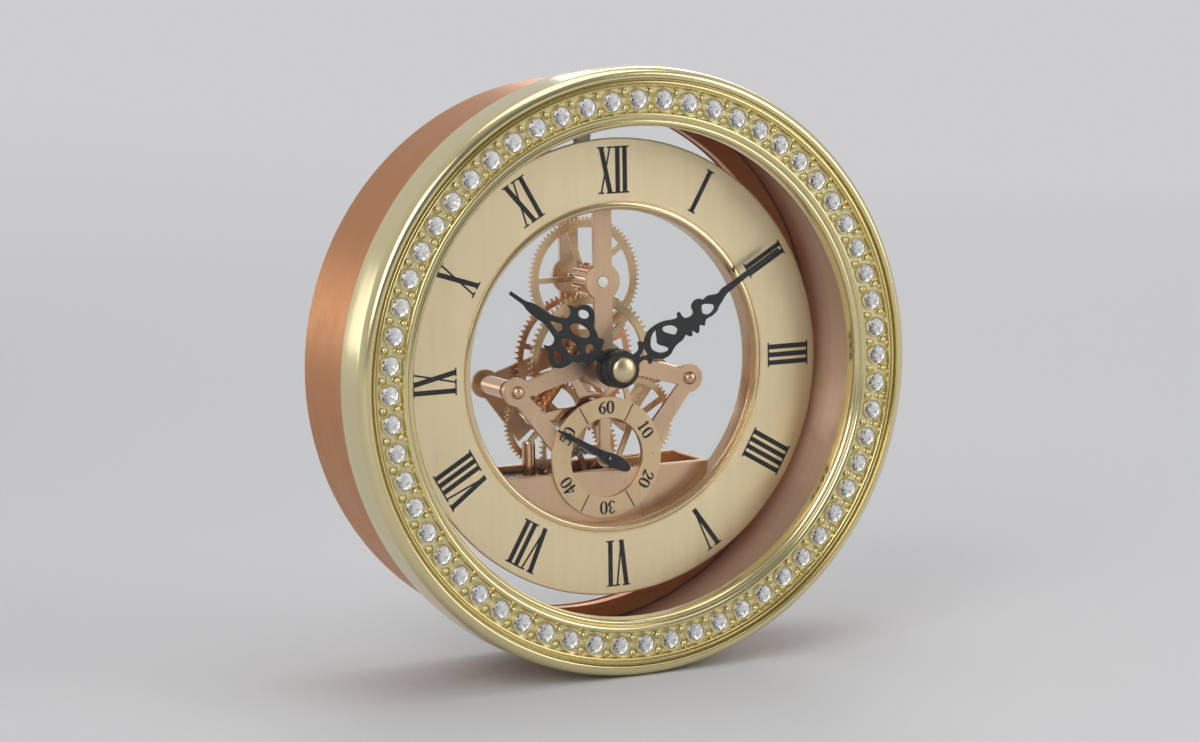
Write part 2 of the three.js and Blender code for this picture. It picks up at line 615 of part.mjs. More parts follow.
function addHands() {
  const mirrored = HOUR_HALF.map(([x, z]) => [-x, z]).reverse();
  const hourShape = shapeOf([...HOUR_HALF, ...mirrored]);
  for (const side of [-1, 1]) {
    hourShape.holes.push(ellipse(side * 2.5, 15, 1.5, 3.2, side * 7));
    hourShape.holes.push(ellipse(side * 6.6, 16.6, 1.1, 1.7, side * 14));
  }
  hourShape.holes.push(ellipse(0, 9.9, 1.3, 1.3));
  hourShape.holes.push(new THREE.Path([[0, 24], [-1.2, 20.5], [0, 19.4], [1.2, 20.5]].map(
    ([x, z]) => new THREE.Vector2(x, z),
  )));
  const minuteShape = shapeOf(MINUTE_OUTLINE);
  for (const hole of MINUTE_HOLES) {
    minuteShape.holes.push(new THREE.Path(hole.map(([x, z]) => new THREE.Vector2(x, z))));
  }
  // Each hand is riveted to the collet that grips its arbor.
  const minuteCollet = ring(
    MINUTE_ARBOR_R + FIT,
    COLLAR_R - 0.2,
    MINUTE_HAND + HAND_SHEET,
    HOUR_HAND - GAP - 0.2,
    CENTRE,
    24,
  );
  const hourCollet = ring(
    HOUR_PIPE_R + FIT,
    COLLAR_R,
    HOUR_HAND + HAND_SHEET,
    HOUR_HAND + HAND_SHEET + 2.2,
    CENTRE,
    24,
  );
  add('minute_hand', hand(
    minuteShape,
    HAND_SHEET,
    MINUTE_HAND,
    COLLAR_R - 0.4,
    MINUTE_ARBOR_R + FIT,
    MINUTE_ANGLE,
  ).add(minuteCollet), BLACK);
  add('hour_hand', hand(
    hourShape,
    HAND_SHEET,
    HOUR_HAND,
    COLLAR_R,
    HOUR_PIPE_R + FIT,
    HOUR_ANGLE,
  ).add(hourCollet), BLACK);
  add('cap_nut', cut(turned([
    [0, MINUTE_HAND - 1.9], [1.3, MINUTE_HAND - 1.75], [2.4, MINUTE_HAND - 1.3], [3.2, MINUTE_HAND - 0.6],
    [3.5, MINUTE_HAND], [0, MINUTE_HAND],
  ], 20), [disc(MINUTE_ARBOR_R + FIT, MINUTE_HAND - 0.7, MINUTE_HAND + 1, CENTRE, 16)]), BRIGHT);
  add('minute_arbor', disc(MINUTE_ARBOR_R, MINUTE_HAND - 0.6, REAR_PANE_BACK - 1, CENTRE, 16), STEEL);
  add('seconds_hand', hand(
    shapeOf(SECONDS_OUTLINE),
    HAND_SHEET,
    SECONDS_HAND,
    1.5,
    ARBOR_R + FIT,
    SECONDS_ANGLE,
    SECONDS,
  ), BLACK);
}

// Motion work: cannon pinion, upper wheel with its drum pinion, hour wheel on its pipe.
function addMotionWork() {
  const cannonPhase = 0;
  const motionPhase = meshPhase(CENTRE, UPPER, CANNON_TEETH, cannonPhase, MOTION_TEETH);
  const drumPhase = 0;
  const hourPhase = meshPhase(UPPER, CENTRE, DRUM_LEAVES, drumPhase, HOUR_TEETH);
  const cannonBore = disc(MINUTE_ARBOR_R + FIT, MOTION_WHEEL - 2, MOTION_WHEEL + 4, CENTRE, 16);
  const cannonTeeth = gearShape(CANNON_TEETH, MOTION_MODULE, cannonPhase, WHEEL_TOOTH);
  add('cannon_pinion', cut(union([
    flat(cannonTeeth, MOTION_WHEEL - 0.2, MOTION_WHEEL + WHEEL + 0.2),
    disc(3.4, MOTION_WHEEL, MOTION_WHEEL + 2.6, CENTRE),
  ]), [cannonBore]), BRASS);
  add('motion_wheel', wheel({
    teeth: MOTION_TEETH,
    module: MOTION_MODULE,
    phase: motionPhase,
    depth: MOTION_WHEEL,
    centre: UPPER,
    bore: ARBOR_R + FIT,
    hub: 3,
    rim: 2.1,
    lean: THREE.MathUtils.degToRad(36),
  }), BRASS);
  add('motion_arbor', union([
    pinion(DRUM_LEAVES, DRUM_MODULE, drumPhase, PLATE_BACK + 1, MOTION_WHEEL - FIT, UPPER),
    disc(ARBOR_R, PLATE_FRONT + 0.4, REAR_PLATE_BACK - 0.4, UPPER, FINE),
    disc(1.4, MOTION_WHEEL + WHEEL + FIT, MOTION_WHEEL + WHEEL + 2, UPPER, 12),
  ]), ROSE_BRIGHT);
  add('hour_wheel', wheel({
    teeth: HOUR_TEETH,
    module: DRUM_MODULE,
    phase: hourPhase,
    depth: HOUR_WHEEL,
    centre: CENTRE,
    bore: HOUR_PIPE_R + FIT,
    hub: 4.4,
    rim: 2.1,
    lean: THREE.MathUtils.degToRad(46),
  }), BRASS);
  add('hour_pipe', turned([
    [MINUTE_ARBOR_R + GAP, HOUR_HAND - 0.2],
    [HOUR_PIPE_R, HOUR_HAND - 0.2],
    [HOUR_PIPE_R, HOUR_WHEEL + WHEEL],
    [4.2, HOUR_WHEEL + WHEEL],
    [4.2, HOUR_WHEEL + WHEEL + 0.7],
    [MINUTE_ARBOR_R + GAP, HOUR_WHEEL + WHEEL + 0.7],
  ], 20), BRASS);
  add('setting_knob', turned([
    [0, REAR_PANE_BACK - 1], [MINUTE_ARBOR_R, REAR_PANE_BACK - 1],
    [MINUTE_ARBOR_R + FIT, REAR_PANE_BACK - 1], [MINUTE_ARBOR_R + FIT, REAR_PANE_FRONT + 0.2],
    [4.2, REAR_PANE_FRONT + 0.2], [4.2, REAR_PANE_BACK], [3.8, REAR_PANE_BACK + 0.3], [0, REAR_PANE_BACK + 0.3],
  ], 20), BLACK);
}

// Going train: seconds arbor, third wheel, centre wheel.
function addTrain() {
  const pivotBack = REAR_PLATE_BACK - 0.4;
  const secondsPhase = 0;
  const thirdPhase = meshPhase(SECONDS, THIRD, SECONDS_LEAVES, secondsPhase, THIRD_TEETH);
  const thirdLeafPhase = 0;
  const centrePhase = meshPhase(THIRD, CENTRE, THIRD_LEAVES, thirdLeafPhase, CENTRE_TEETH);
  add('seconds_arbor', union([
    disc(ARBOR_R, SECONDS_HAND - 0.2, pivotBack, SECONDS, FINE),
    pinion(SECONDS_LEAVES, FINE_MODULE, secondsPhase, THIRD_WHEEL - 0.2, THIRD_WHEEL + WHEEL + 0.2, SECONDS),
  ]), STEEL);
  add('seconds_wheel', wheel({
    teeth: SECONDS_TEETH,
    module: SECONDS_MODULE,
    phase: 0,
    depth: SECONDS_WHEEL,
    centre: SECONDS,
    bore: ARBOR_R + FIT,
    hub: 2,
    rim: 1.2,
  }), BRASS);
  add('third_wheel', wheel({
    teeth: THIRD_TEETH,
    module: FINE_MODULE,
    phase: thirdPhase,
    depth: THIRD_WHEEL,
    centre: THIRD,
    bore: ARBOR_R + FIT,
    hub: 2.2,
    lean: THREE.MathUtils.degToRad(10),
  }), BRASS);
  add('third_arbor', union([
    disc(ARBOR_R, PLATE_FRONT + 0.4, pivotBack, THIRD, FINE),
    pinion(THIRD_LEAVES, THIRD_MODULE, thirdLeafPhase, CENTRE_WHEEL - 0.3, CENTRE_WHEEL + WHEEL + 0.3, THIRD),
  ]), STEEL);
  add('centre_wheel', wheel({
    teeth: CENTRE_TEETH,
    module: THIRD_MODULE,
    phase: centrePhase,
    depth: CENTRE_WHEEL,
    centre: CENTRE,
    bore: MINUTE_ARBOR_R + GAP,
    hub: 3.2,
    lean: THREE.MathUtils.degToRad(20),
  }), BRASS);
}

// Stepping motor: rotor, intermediate wheel, stator, coil and the cock that carries the rotor.
function addMotor() {
  const secondsPhase = 0;
  const leafPhase = meshPhase(SECONDS, INTER, SECONDS_TEETH, secondsPhase, INTER_LEAVES);
  const interPhase = 0;
  const rotorPhase = meshPhase(INTER, ROTOR, INTER_TEETH, interPhase, ROTOR_LEAVES);
  add('intermediate_arbor', union([
    disc(ARBOR_R, PLATE_FRONT + 0.4, REAR_PLATE_BACK - 0.4, INTER, FINE),
    pinion(INTER_LEAVES, SECONDS_MODULE, leafPhase, SECONDS_WHEEL - 0.2, SECONDS_WHEEL + WHEEL + 0.2, INTER),
  ]), STEEL);
  add('intermediate_wheel', wheel({
    teeth: INTER_TEETH,
    module: FINE_MODULE,
    phase: interPhase,
    depth: INTER_WHEEL,
    centre: INTER,
    bore: ARBOR_R + FIT,
    hub: 2.2,
    lean: THREE.MathUtils.degToRad(30),
  }), BRASS);
  const magnetFront = PLATE_BACK + 0.8;
  const magnetBack = PLATE_BACK + 2.9;
  const magnetR = 2.6;
  add('rotor_arbor', union([
    disc(ARBOR_R, PLATE_FRONT + 0.4, COCK_FRONT + COCK - 0.1, ROTOR, FINE),
    pinion(ROTOR_LEAVES, FINE_MODULE, rotorPhase, magnetBack + 0.3, INTER_WHEEL + WHEEL + 0.3, ROTOR),
  ]), STEEL);
  const magnetLook = finish(0x55585c, 0.4, 0.8);
  add('rotor_magnet', ring(ARBOR_R + FIT, magnetR, magnetFront, magnetBack, ROTOR, 20), magnetLook);

  const posts = [[-9.5, -0.6], [-20.2, -13.2]];
  const s0 = PLATE_BACK + 1.4;
  const s1 = s0 + 0.8;
  const coreHalf = 0.6;
  const stator = union([
    disc(4.8, s0, s1, ROTOR, 24),
    ...posts.map((post) => link(ROTOR, 3.4, post, 1.8, s0, s1)),
    ...posts.map((post) => disc(1.7, PLATE_BACK, s1 + 2 * coreHalf, post, 12)),
  ]);

  // The coil lies on a core bar that closes the stator from one post to the other.
  const middle = [(posts[0][0] + posts[1][0]) / 2, (posts[0][1] + posts[1][1]) / 2];
  const slope = Math.atan2(posts[1][1] - posts[0][1], posts[1][0] - posts[0][0]);
  const span = Math.hypot(posts[1][0] - posts[0][0], posts[1][1] - posts[0][1]);
  const laid = (geometry, depth) => {
    geometry.rotateY(-slope);
    geometry.translate(middle[0], at(depth), middle[1]);
    return solid(geometry);
  };
  const core = laid(new THREE.BoxGeometry(span, 2 * coreHalf, 2), s1 + coreHalf);
  const bored = stator.subtract(disc(magnetR + 0.4, s0 - 1, s1 + 1, ROTOR, 24));
  add('stator', bored.add(core), ROSE_BRIGHT);
  const coilLength = 8.4;
  const coilR = 2.3;
  const loop = [[0, -coilLength / 2], [coilR, -coilLength / 2], [coilR, -coilLength / 2 + 0.5]];
  const turns = 4;
  for (let i = 0; i < turns; i += 1) {
    const y = -coilLength / 2 + 0.5 + (i + 0.5) * (coilLength - 1) / turns;
    loop.push([coilR - 0.3, y - 0.6], [coilR - 0.1, y], [coilR - 0.3, y + 0.6]);
  }
  loop.push([coilR, coilLength / 2 - 0.5], [coilR, coilLength / 2], [0, coilLength / 2]);
  const winding = new THREE.LatheGeometry([...loop, loop[0]].map(([r, y]) => new THREE.Vector2(r, y)), 12);
  winding.rotateZ(Math.PI / 2);
  const passage = new THREE.BoxGeometry(coilLength + 2, 2 * (coreHalf + FIT), 2 * (1 + FIT));
  const channel = laid(passage, s1 + coreHalf);
  add('coil', laid(winding, s1 + coreHalf).subtract(channel), finish(0xb8622e, 0.35, 0.9));

  const pins = [[-8, -15.3], [-3.3, -4.3]];
  add('motor_cock', cut(union([
    link(pins[0], 2.6, ROTOR, 3, COCK_FRONT, COCK_FRONT + COCK),
    link(ROTOR, 3, pins[1], 2.6, COCK_FRONT, COCK_FRONT + COCK),
    disc(1.5, COCK_FRONT, COCK_FRONT + COCK, ROTOR, 16),
    ...pins.map((pin) => disc(0.8, PLATE_BACK, COCK_FRONT + COCK, pin, FINE)),
    ...pins.map((pin) => disc(1.3, COCK_FRONT, COCK_FRONT + COCK, pin, 12)),
  ]), [disc(ARBOR_R + 0.15, COCK_FRONT - 1, COCK_FRONT + 2, ROTOR, FINE)]), ROSE);
}

addCase();
addStones();
addDial();
addPlates();
addPillars();
addBase();
addRear();
addHands();
addMotionWork();
add('seconds_dial', ring(SUB_DIAL_BORE_R, SUB_DIAL_R, SUB_DIAL_FRONT, PLATE_FRONT, SECONDS, 40), CHAMPAGNE);
addTrain();
addMotor();

export default clock;
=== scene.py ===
"""Looks for a skeleton gear clock in a round copper drum with a stone-set gold bezel.

Sizes are in millimetres about the dial's axis, with depths counted backwards from the plane of the
stones. spot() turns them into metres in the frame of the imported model. R ends the name of a radius,
and most loops are points of (radius, depth) or of (x, z).
"""

from math import atan2, cos, pi, radians, sin, sqrt, tau

import bmesh
import bpy
from mathutils import Matrix, Vector, geometry


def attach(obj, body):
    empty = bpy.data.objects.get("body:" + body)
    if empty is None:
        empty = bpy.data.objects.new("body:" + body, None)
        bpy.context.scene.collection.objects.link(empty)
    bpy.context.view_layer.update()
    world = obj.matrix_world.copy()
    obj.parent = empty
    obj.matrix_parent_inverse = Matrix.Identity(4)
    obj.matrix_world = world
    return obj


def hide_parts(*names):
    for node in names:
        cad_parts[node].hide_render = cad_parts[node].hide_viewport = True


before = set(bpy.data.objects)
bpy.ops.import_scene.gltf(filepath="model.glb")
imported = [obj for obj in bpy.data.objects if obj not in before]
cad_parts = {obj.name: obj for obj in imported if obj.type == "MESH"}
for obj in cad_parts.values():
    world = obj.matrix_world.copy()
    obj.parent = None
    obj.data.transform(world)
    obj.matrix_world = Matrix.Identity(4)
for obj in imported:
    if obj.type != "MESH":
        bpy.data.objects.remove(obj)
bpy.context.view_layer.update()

MM = 0.001
WELD = 1e-7
NOTHING = 1e-6
REAR = 46.8
SCREW_Z = 64.4

# Case and bezel.
BEZEL_R = 80
BEZEL_BACK = 4.2
BEZEL_SKIRT = 12.2
STONES = 60
STONE_CIRCLE = 71.6
FLOOR = 0.8
CASE_R, CASE_BORE = 75.6, 74.1
PANE_R, SEAT_BORE = 73.8, 68.8
PANE = 2
SKIN = 0.04

# Dial, plates and pillars.
DIAL_R, DIAL_BORE = 60.8, 42.5
DIAL_FRONT, DIAL_BACK = 15.6, 16.6
PLATE_FRONT, PLATE_BACK = 22, 23.2
REAR_PLATE_FRONT, REAR_PLATE_BACK = 42, 43.2
REAR_PANE_FRONT, REAR_PANE_BACK = 44.2, 46.2
BOSS = (25.65, -5.4)
TOP_PILLAR = (0, 47)
POST_R, POST_HOLE = 2.6, 1.3
BOSSES = {"left": (-BOSS[0], BOSS[1]), "right": BOSS, "top": TOP_PILLAR}

# Arbors and the train of wheels.
CENTRE = (0, 0)
UPPER = (0, 22.2)
SECONDS = (0, -24.8)
SMALL_RING_BORE, SMALL_RING_R = 10.7, 16.3
SMALL_RING_FRONT = PLATE_FRONT - 0.7
ARBOR_R = 0.45
PIVOT_R = 0.28
PIVOT_HOLE = 0.6
MINUTE_ARBOR_R = 1
MINUTE_BORE = MINUTE_ARBOR_R + 0.1
ROD_FRONT, ROD_BACK = 10.5, 45.2
HOUR_PIPE_R = 2.6
HOUR_BORE = HOUR_PIPE_R + 0.1
PIPE_BORE, PIPE_FRONT, PIPE_BACK = 1.3, 14.3, 31.3
WHEEL = 0.8
INTER_WHEEL = 26.6
COCK_FRONT, COCK = 28.2, 0.7
HOUR_WHEEL = 29.8
MOTION_WHEEL = 33
THIRD_WHEEL = 36.2
SECONDS_WHEEL = 38.2
CENTRE_WHEEL = 40.1
ARBOR_FRONT = 22.4
ARBOR_BACK = REAR_PLATE_BACK - 0.4
FINE_MODULE, THIRD_MODULE = 0.4, 0.48
MOTION_MODULE = 2 * UPPER[1] / (30 + 80)
DRUM_MODULE = 2 * UPPER[1] / (16 + 72)
THIRD_REACH = (8 + 60) / 2 * FINE_MODULE
CENTRE_REACH = (9 + 72) / 2 * THIRD_MODULE
ROTOR_REACH = (10 + 60) / 2 * FINE_MODULE
SECONDS_MODULE = 2 * THIRD_REACH / (50 + 10)
SIDE_Z = -(CENTRE_REACH ** 2 - THIRD_REACH ** 2 + SECONDS[1] ** 2) / (2 * -SECONDS[1])
SIDE_X = sqrt(CENTRE_REACH ** 2 - SIDE_Z ** 2)
THIRD, INTER = (-SIDE_X, SIDE_Z), (SIDE_X, SIDE_Z)
ROTOR_LINE = radians(162)
ROTOR = (INTER[0] + ROTOR_REACH * cos(ROTOR_LINE), INTER[1] + ROTOR_REACH * sin(ROTOR_LINE))

# Hands.
MINUTE_HAND, HOUR_HAND, SECONDS_HAND = 11.1, 14.5, 19.6
MINUTE_ANGLE, HOUR_ANGLE, SECONDS_ANGLE = 58.5, 305.5, 300
HAND_SHEET = 0.5

# Base tray and cell bay.
BASE_HALF = 32
BASE_TOP = -28.2
BASE_R = 54
BASE_WALL = 1.2
SHELF = -31
WELL_HALF = 13
WELL_FLOOR = -37
CELL_R, CELL_LENGTH = 5.25, 44.5
BAY_HALF = CELL_LENGTH / 2 + 3.3
BAY_X = BASE_HALF - 1.25 - BASE_WALL - BAY_HALF
BAY_TOP = WELL_FLOOR - BASE_WALL
BAY_BOTTOM = BAY_TOP - 2 * CELL_R - 0.4
BASE_BOTTOM = BAY_BOTTOM - BASE_WALL
TRAY_BACK = REAR_PLATE_BACK - 0.2
CELL_Z = BAY_BOTTOM + CELL_R + 0.1
CELL_DEPTH = PLATE_BACK + BASE_WALL + CELL_R + 0.1
HANGER_Z = 60
KEYHOLE_R = 3.9


# Node trees.
NUMBER = "NodeSocketFloat"
WHOLE = "NodeSocketInt"
VECTOR = "NodeSocketVector"
MARKS = [("Lines", NUMBER), ("Glow", NUMBER)]
SHAPE = [("Geometry", "NodeSocketGeometry")]
FINISH = ("Finish", "NodeSocketMaterial", None)


def node(tree, kind, inputs=None, **settings):
    """Adds a node. A value in inputs is a socket to link from, or what the socket is set to."""
    made = tree.nodes.new(kind)
    for key, value in settings.items():
        setattr(made, key, value)
    for key, value in (inputs or {}).items():
        if isinstance(value, bpy.types.NodeSocket):
            tree.links.new(value, made.inputs[key])
        else:
            made.inputs[key].default_value = value
    return made


def reckoner(tree):
    """Function that adds one sum to a tree and gives its result."""
    def sums(operation, *values):
        return node(tree, "ShaderNodeMath", dict(enumerate(values)), operation=operation).outputs[0]
    return sums


def group(name, kind, takes, gives):
    """Empty node group with named sockets, and its two end nodes."""
    tree = bpy.data.node_groups.new(name, kind)
    for label, socket, start in takes:
        made = tree.interface.new_socket(label, in_out="INPUT", socket_type=socket)
        if start is not None:
            made.default_value = start
    for label, socket in gives:
        tree.interface.new_socket(label, in_out="OUTPUT", socket_type=socket)
    return tree, tree.nodes.new("NodeGroupInput").outputs, tree.nodes.new("NodeGroupOutput").inputs


def ranged(tree, value, low, high, start=0.3, end=0.7):
    """Value spread from low to high."""
    return node(tree, "ShaderNodeMapRange", {
        "Value": value, "From Min": start, "From Max": end, "To Min": low, "To Max": high,
    }).outputs[0]


def noise(tree, place, **values):
    return node(tree, "ShaderNodeTexNoise", {"Vector": place, **values}).outputs["Fac"]


def point(tree, x=0, y=0, z=0):
    return node(tree, "ShaderNodeCombineXYZ", {0: x, 1: y, 2: z}).outputs[0]


def parts_of(tree, place):
    return node(tree, "ShaderNodeSeparateXYZ", {0: place}).outputs


def marks(tree, place, result, rough, slow):
    """Ends a group with the fine lines and the slow glow along its place."""
    tree.links.new(noise(tree, place, Scale=1, Detail=4, Roughness=rough), result["Lines"])
    tree.links.new(noise(tree, place, Scale=slow, Detail=2), result["Glow"])
    return tree


def turned_marks_group():
    """Fine rings left by a lathe about an axis along Y, on faces and on walls alike."""
    tree, given, result = group("turned_marks", "ShaderNodeTree", [
        ("Vector", VECTOR, None), ("Centre", VECTOR, (0, 0, 0)), ("Fineness", NUMBER, 2500),
    ], MARKS)
    sums = reckoner(tree)
    moved = node(tree, "ShaderNodeVectorMath", {0: given["Vector"], 1: given["Centre"]}, operation="SUBTRACT")
    x, y, z = parts_of(tree, moved.outputs[0])
    radius = sums("SQRT", sums("ADD", sums("POWER", x, 2), sums("POWER", z, 2)))
    angle = sums("ARCTAN2", x, z)
    across = sums("MULTIPLY", sums("ADD", radius, y), given["Fineness"])
    place = point(tree, across, sums("SINE", angle), sums("COSINE", angle))
    return marks(tree, place, result, 0.7, 0.13)


def straight_grain_group():
    """Straight brushed grain that runs along Z after the vector has been turned."""
    tree, given, result = group("straight_grain", "ShaderNodeTree", [
        ("Vector", VECTOR, None), ("Fineness", NUMBER, 2500), ("Length", NUMBER, 40),
    ], MARKS)
    sums = reckoner(tree)
    x, y, z = parts_of(tree, given["Vector"])
    fine = given["Fineness"]
    slow = sums("DIVIDE", fine, given["Length"])
    place = point(tree, sums("MULTIPLY", x, fine), sums("MULTIPLY", y, fine), sums("MULTIPLY", z, slow))
    return marks(tree, place, result, 0.65, 0.12)


def handling_group():
    """Soft clouds where a surface has been wiped or touched, and small specks of dust."""
    tree, given, result = group("handling", "ShaderNodeTree", [
        ("Vector", VECTOR, None), ("Size", NUMBER, 90), ("Dust", NUMBER, 0.5),
    ], [("Clouds", NUMBER), ("Specks", NUMBER)])
    clouds = noise(tree, given["Vector"], Scale=given["Size"], Detail=5, Roughness=0.6, Distortion=0.4)
    spots = node(tree, "ShaderNodeTexVoronoi", {"Vector": given["Vector"], "Scale": 1400, "Randomness": 1})
    near = ranged(tree, spots.outputs["Distance"], 0, 1, 0.16, 0.05)
    some = ranged(tree, clouds, 0, given["Dust"], 0.55, 0.7)
    tree.links.new(clouds, result["Clouds"])
    tree.links.new(reckoner(tree)("MULTIPLY", near, some), result["Specks"])
    return tree


TURNED_MARKS = turned_marks_group()
STRAIGHT_GRAIN = straight_grain_group()
HANDLING = handling_group()


# Materials.
def tone(red, green, blue):
    """Linear colour from the usual 0 to 255 values."""
    parts = [v / 255 for v in (red, green, blue)]
    return tuple(((v + 0.055) / 1.055) ** 2.4 if v > 0.04 else v / 12.92 for v in parts) + (1,)


def mixed(tree, share, first, second):
    return node(tree, "ShaderNodeMix", {0: share, 6: first, 7: second}, data_type="RGBA").outputs[2]


def shades(tree, share, colour, change):
    """Colour between a darker and a lighter shade."""
    plain = tone(*colour)[:3]
    dark, light = [tuple(min(1, v * factor) for v in plain) + (1,) for factor in (1 - change, 1 + change)]
    return mixed(tree, share, dark, light)


def material(name):
    """New material, with its node tree, shader, output and place on the object."""
    look = bpy.data.materials.new(name)
    look.use_nodes = True
    tree = look.node_tree
    tree.nodes.clear()
    shader = node(tree, "ShaderNodeBsdfPrincipled")
    output = node(tree, "ShaderNodeOutputMaterial", {"Surface": shader.outputs[0]})
    return look, tree, shader, output, node(tree, "ShaderNodeTexCoord").outputs["Object"]


def use(tree, shared, inputs):
    return node(tree, "ShaderNodeGroup", inputs, node_tree=shared).outputs


def surface(tree, shader, colour, specks, dust, rough, height, depth, metallic):
    """Sets a shader's dusty colour, roughness, bump and metal."""
    share, grey = dust
    dusty = mixed(tree, reckoner(tree)("MULTIPLY", specks, share), colour, grey)
    bump = node(tree, "ShaderNodeBump", {"Height": height, "Distance": depth * MM, "Strength": 1})
    for label, value in (("Base Color", dusty), ("Roughness", rough), ("Normal", bump.outputs[0])):
        tree.links.new(value, shader.inputs[label])
    shader.inputs["Metallic"].default_value = metallic


def metal(name, colour, rough, fine, depth, change, grain=None, centre=CENTRE):
    """Metal with lathe rings about a centre, or straight grain at an angle, under soft handling clouds."""
    look, tree, shader, _, place = material(name)
    sums = reckoner(tree)
    if grain is None:
        middle = (centre[0] * MM, 0, (centre[1] - SCREW_Z) * MM)
        lines = use(tree, TURNED_MARKS, {"Vector": place, "Centre": middle, "Fineness": fine})
    else:
        turned = node(tree, "ShaderNodeMapping", {"Vector": place, "Rotation": (0, radians(grain), 0)})
        lines = use(tree, STRAIGHT_GRAIN, {"Vector": turned.outputs[0], "Fineness": fine})
    hands = use(tree, HANDLING, {"Vector": place, "Size": 90})
    glow = sums("ADD", sums("MULTIPLY", lines["Glow"], 0.35), sums("MULTIPLY", hands["Clouds"], 0.2))
    blend = sums("ADD", sums("MULTIPLY", lines["Lines"], 0.45), glow)
    worn = sums("ADD", ranged(tree, lines["Lines"], -0.22 * rough, 0.22 * rough),
                ranged(tree, hands["Clouds"], 0.85 * rough, 1.2 * rough))
    both = shades(tree, ranged(tree, blend, 0, 1, 0.35, 0.65), colour, change)
    dust = (0.35, tone(214, 208, 196))
    surface(tree, shader, both, hands["Specks"], dust, worn, lines["Lines"], depth, 1)
    return look


def coated(name, colour, rough, size, depth, change, coat=0, metallic=0):
    """Paint, plastic or print: a fine uneven skin under handling clouds."""
    look, tree, shader, _, place = material(name)
    skin = noise(tree, place, Scale=size, Detail=4)
    hands = use(tree, HANDLING, {"Vector": place, "Size": 160, "Dust": 0.7})
    both = shades(tree, ranged(tree, hands["Clouds"], 0, 1), colour, change)
    worn = ranged(tree, skin, 0.85 * rough, 1.15 * rough)
    surface(tree, shader, both, hands["Specks"], (0.25, tone(150, 148, 144)), worn, skin, depth, metallic)
    shader.inputs["Coat Weight"].default_value = coat
    return look


def clear(name, colour, index, wiped):
    """Glass that lets the lamps through, with the faint wiping marks of a handled pane."""
    look, tree, shader, output, place = material(name)
    sums = reckoner(tree)
    hands = use(tree, HANDLING, {"Vector": place, "Size": 60, "Dust": 0.6})
    for label, value in (("Base Color", colour), ("Transmission Weight", 1), ("IOR", index)):
        shader.inputs[label].default_value = value
    rough = sums("ADD", ranged(tree, hands["Clouds"], 0, wiped, 0.5, 0.8), sums("MULTIPLY", hands["Specks"], 0.1))
    tree.links.new(rough, shader.inputs["Roughness"])
    through = node(tree, "ShaderNodeBsdfTransparent", {"Color": colour}).outputs[0]
    shadow = node(tree, "ShaderNodeLightPath").outputs["Is Shadow Ray"]
    both = node(tree, "ShaderNodeMixShader", {0: shadow, 1: shader.outputs[0], 2: through})
    tree.links.new(both.outputs[0], output.inputs["Surface"])
    return look


def wheel_metal(name, centre, colour=(228, 195, 152)):
    return metal(name, colour, 0.3, 4200, 0.0012, 0.04, centre=centre)


def cell_sleeve():
    """Dark sleeve with a coppery band at the plus end of the cell."""
    look, tree, shader, _, place = material("cell_sleeve")
    hands = use(tree, HANDLING, {"Vector": place, "Size": 140, "Dust": 0.3})
    band = reckoner(tree)("GREATER_THAN", parts_of(tree, place)["X"], (BAY_X + 12) * MM)
    dark = mixed(tree, hands["Clouds"], tone(36, 37, 40), tone(56, 57, 62))
    tree.links.new(mixed(tree, band, dark, tone(206, 150, 96)), shader.inputs["Base Color"])
    tree.links.new(ranged(tree, hands["Clouds"], 0.24, 0.4), shader.inputs["Roughness"])
    shader.inputs["Metallic"].default_value = 0.7
    return look


# Metals: colour, roughness, fineness and depth of the marks, change of tone, angle of a straight grain.
GOLD = metal("gold_bezel", (228, 215, 166), 0.17, 1500, 0.002, 0.04)
GOLD_SATIN = metal("gold_satin", (236, 226, 182), 0.36, 1500, 0.002, 0.04)
GOLD_BEAD = metal("gold_bead", (230, 218, 170), 0.2, 1500, 0.002, 0.04)
COPPER = metal("copper_case", (200, 138, 88), 0.36, 3200, 0.006, 0.08)
COPPER_INSIDE = metal("copper_inside", (190, 154, 128), 0.46, 2600, 0.006, 0.1)
CHAMPAGNE = metal("champagne_dial", (246, 225, 185), 0.4, 3400, 0.005, 0.05, grain=0)
BRIGHT = metal("bright_brass", (236, 212, 168), 0.15, 2000, 0.002, 0.05)
CAP = metal("champagne_cap", (224, 204, 164), 0.32, 2000, 0.002, 0.05)
HOOP = metal("brass_hoop", (200, 166, 132), 0.22, 1800, 0.002, 0.06)
# The screws' rose tint is a painted reflection of the rose plates that their domes face.
SCREW = metal("rosy_screw", (220, 186, 156), 0.3, 1800, 0.002, 0.05, grain=90)
SMALL_DIAL = metal("champagne_small_dial", (226, 196, 156), 0.36, 3200, 0.0022, 0.05, grain=0)
ROSE = metal("rose_plate", (220, 185, 152), 0.36, 3000, 0.0025, 0.07, grain=0)
ROSE_BRIGHT = metal("rose_polished", (224, 187, 154), 0.17, 1800, 0.002, 0.06, grain=90)
STEEL = metal("bright_steel", (196, 198, 202), 0.24, 3600, 0.003, 0.08, grain=90)
MAGNET = metal("rotor_magnet", (104, 106, 112), 0.34, 3000, 0.003, 0.1, centre=ROTOR)
WIRE = metal("copper_wire", (214, 148, 96), 0.24, 1500, 0.001, 0.12, grain=40)
DOOR = metal("door_rose", (204, 168, 146), 0.36, 3000, 0.005, 0.07, grain=90)
WHEEL_UPPER = wheel_metal("wheel_brass_upper", UPPER)
WHEEL_MIDDLE = wheel_metal("wheel_brass_middle", CENTRE)
WHEEL_CENTRE = wheel_metal("wheel_rose_centre", CENTRE, (224, 172, 134))
WHEEL_THIRD = wheel_metal("wheel_brass_third", THIRD)
WHEEL_SECONDS = wheel_metal("wheel_brass_seconds", SECONDS)
WHEEL_SIDE = wheel_metal("wheel_brass_side", INTER)

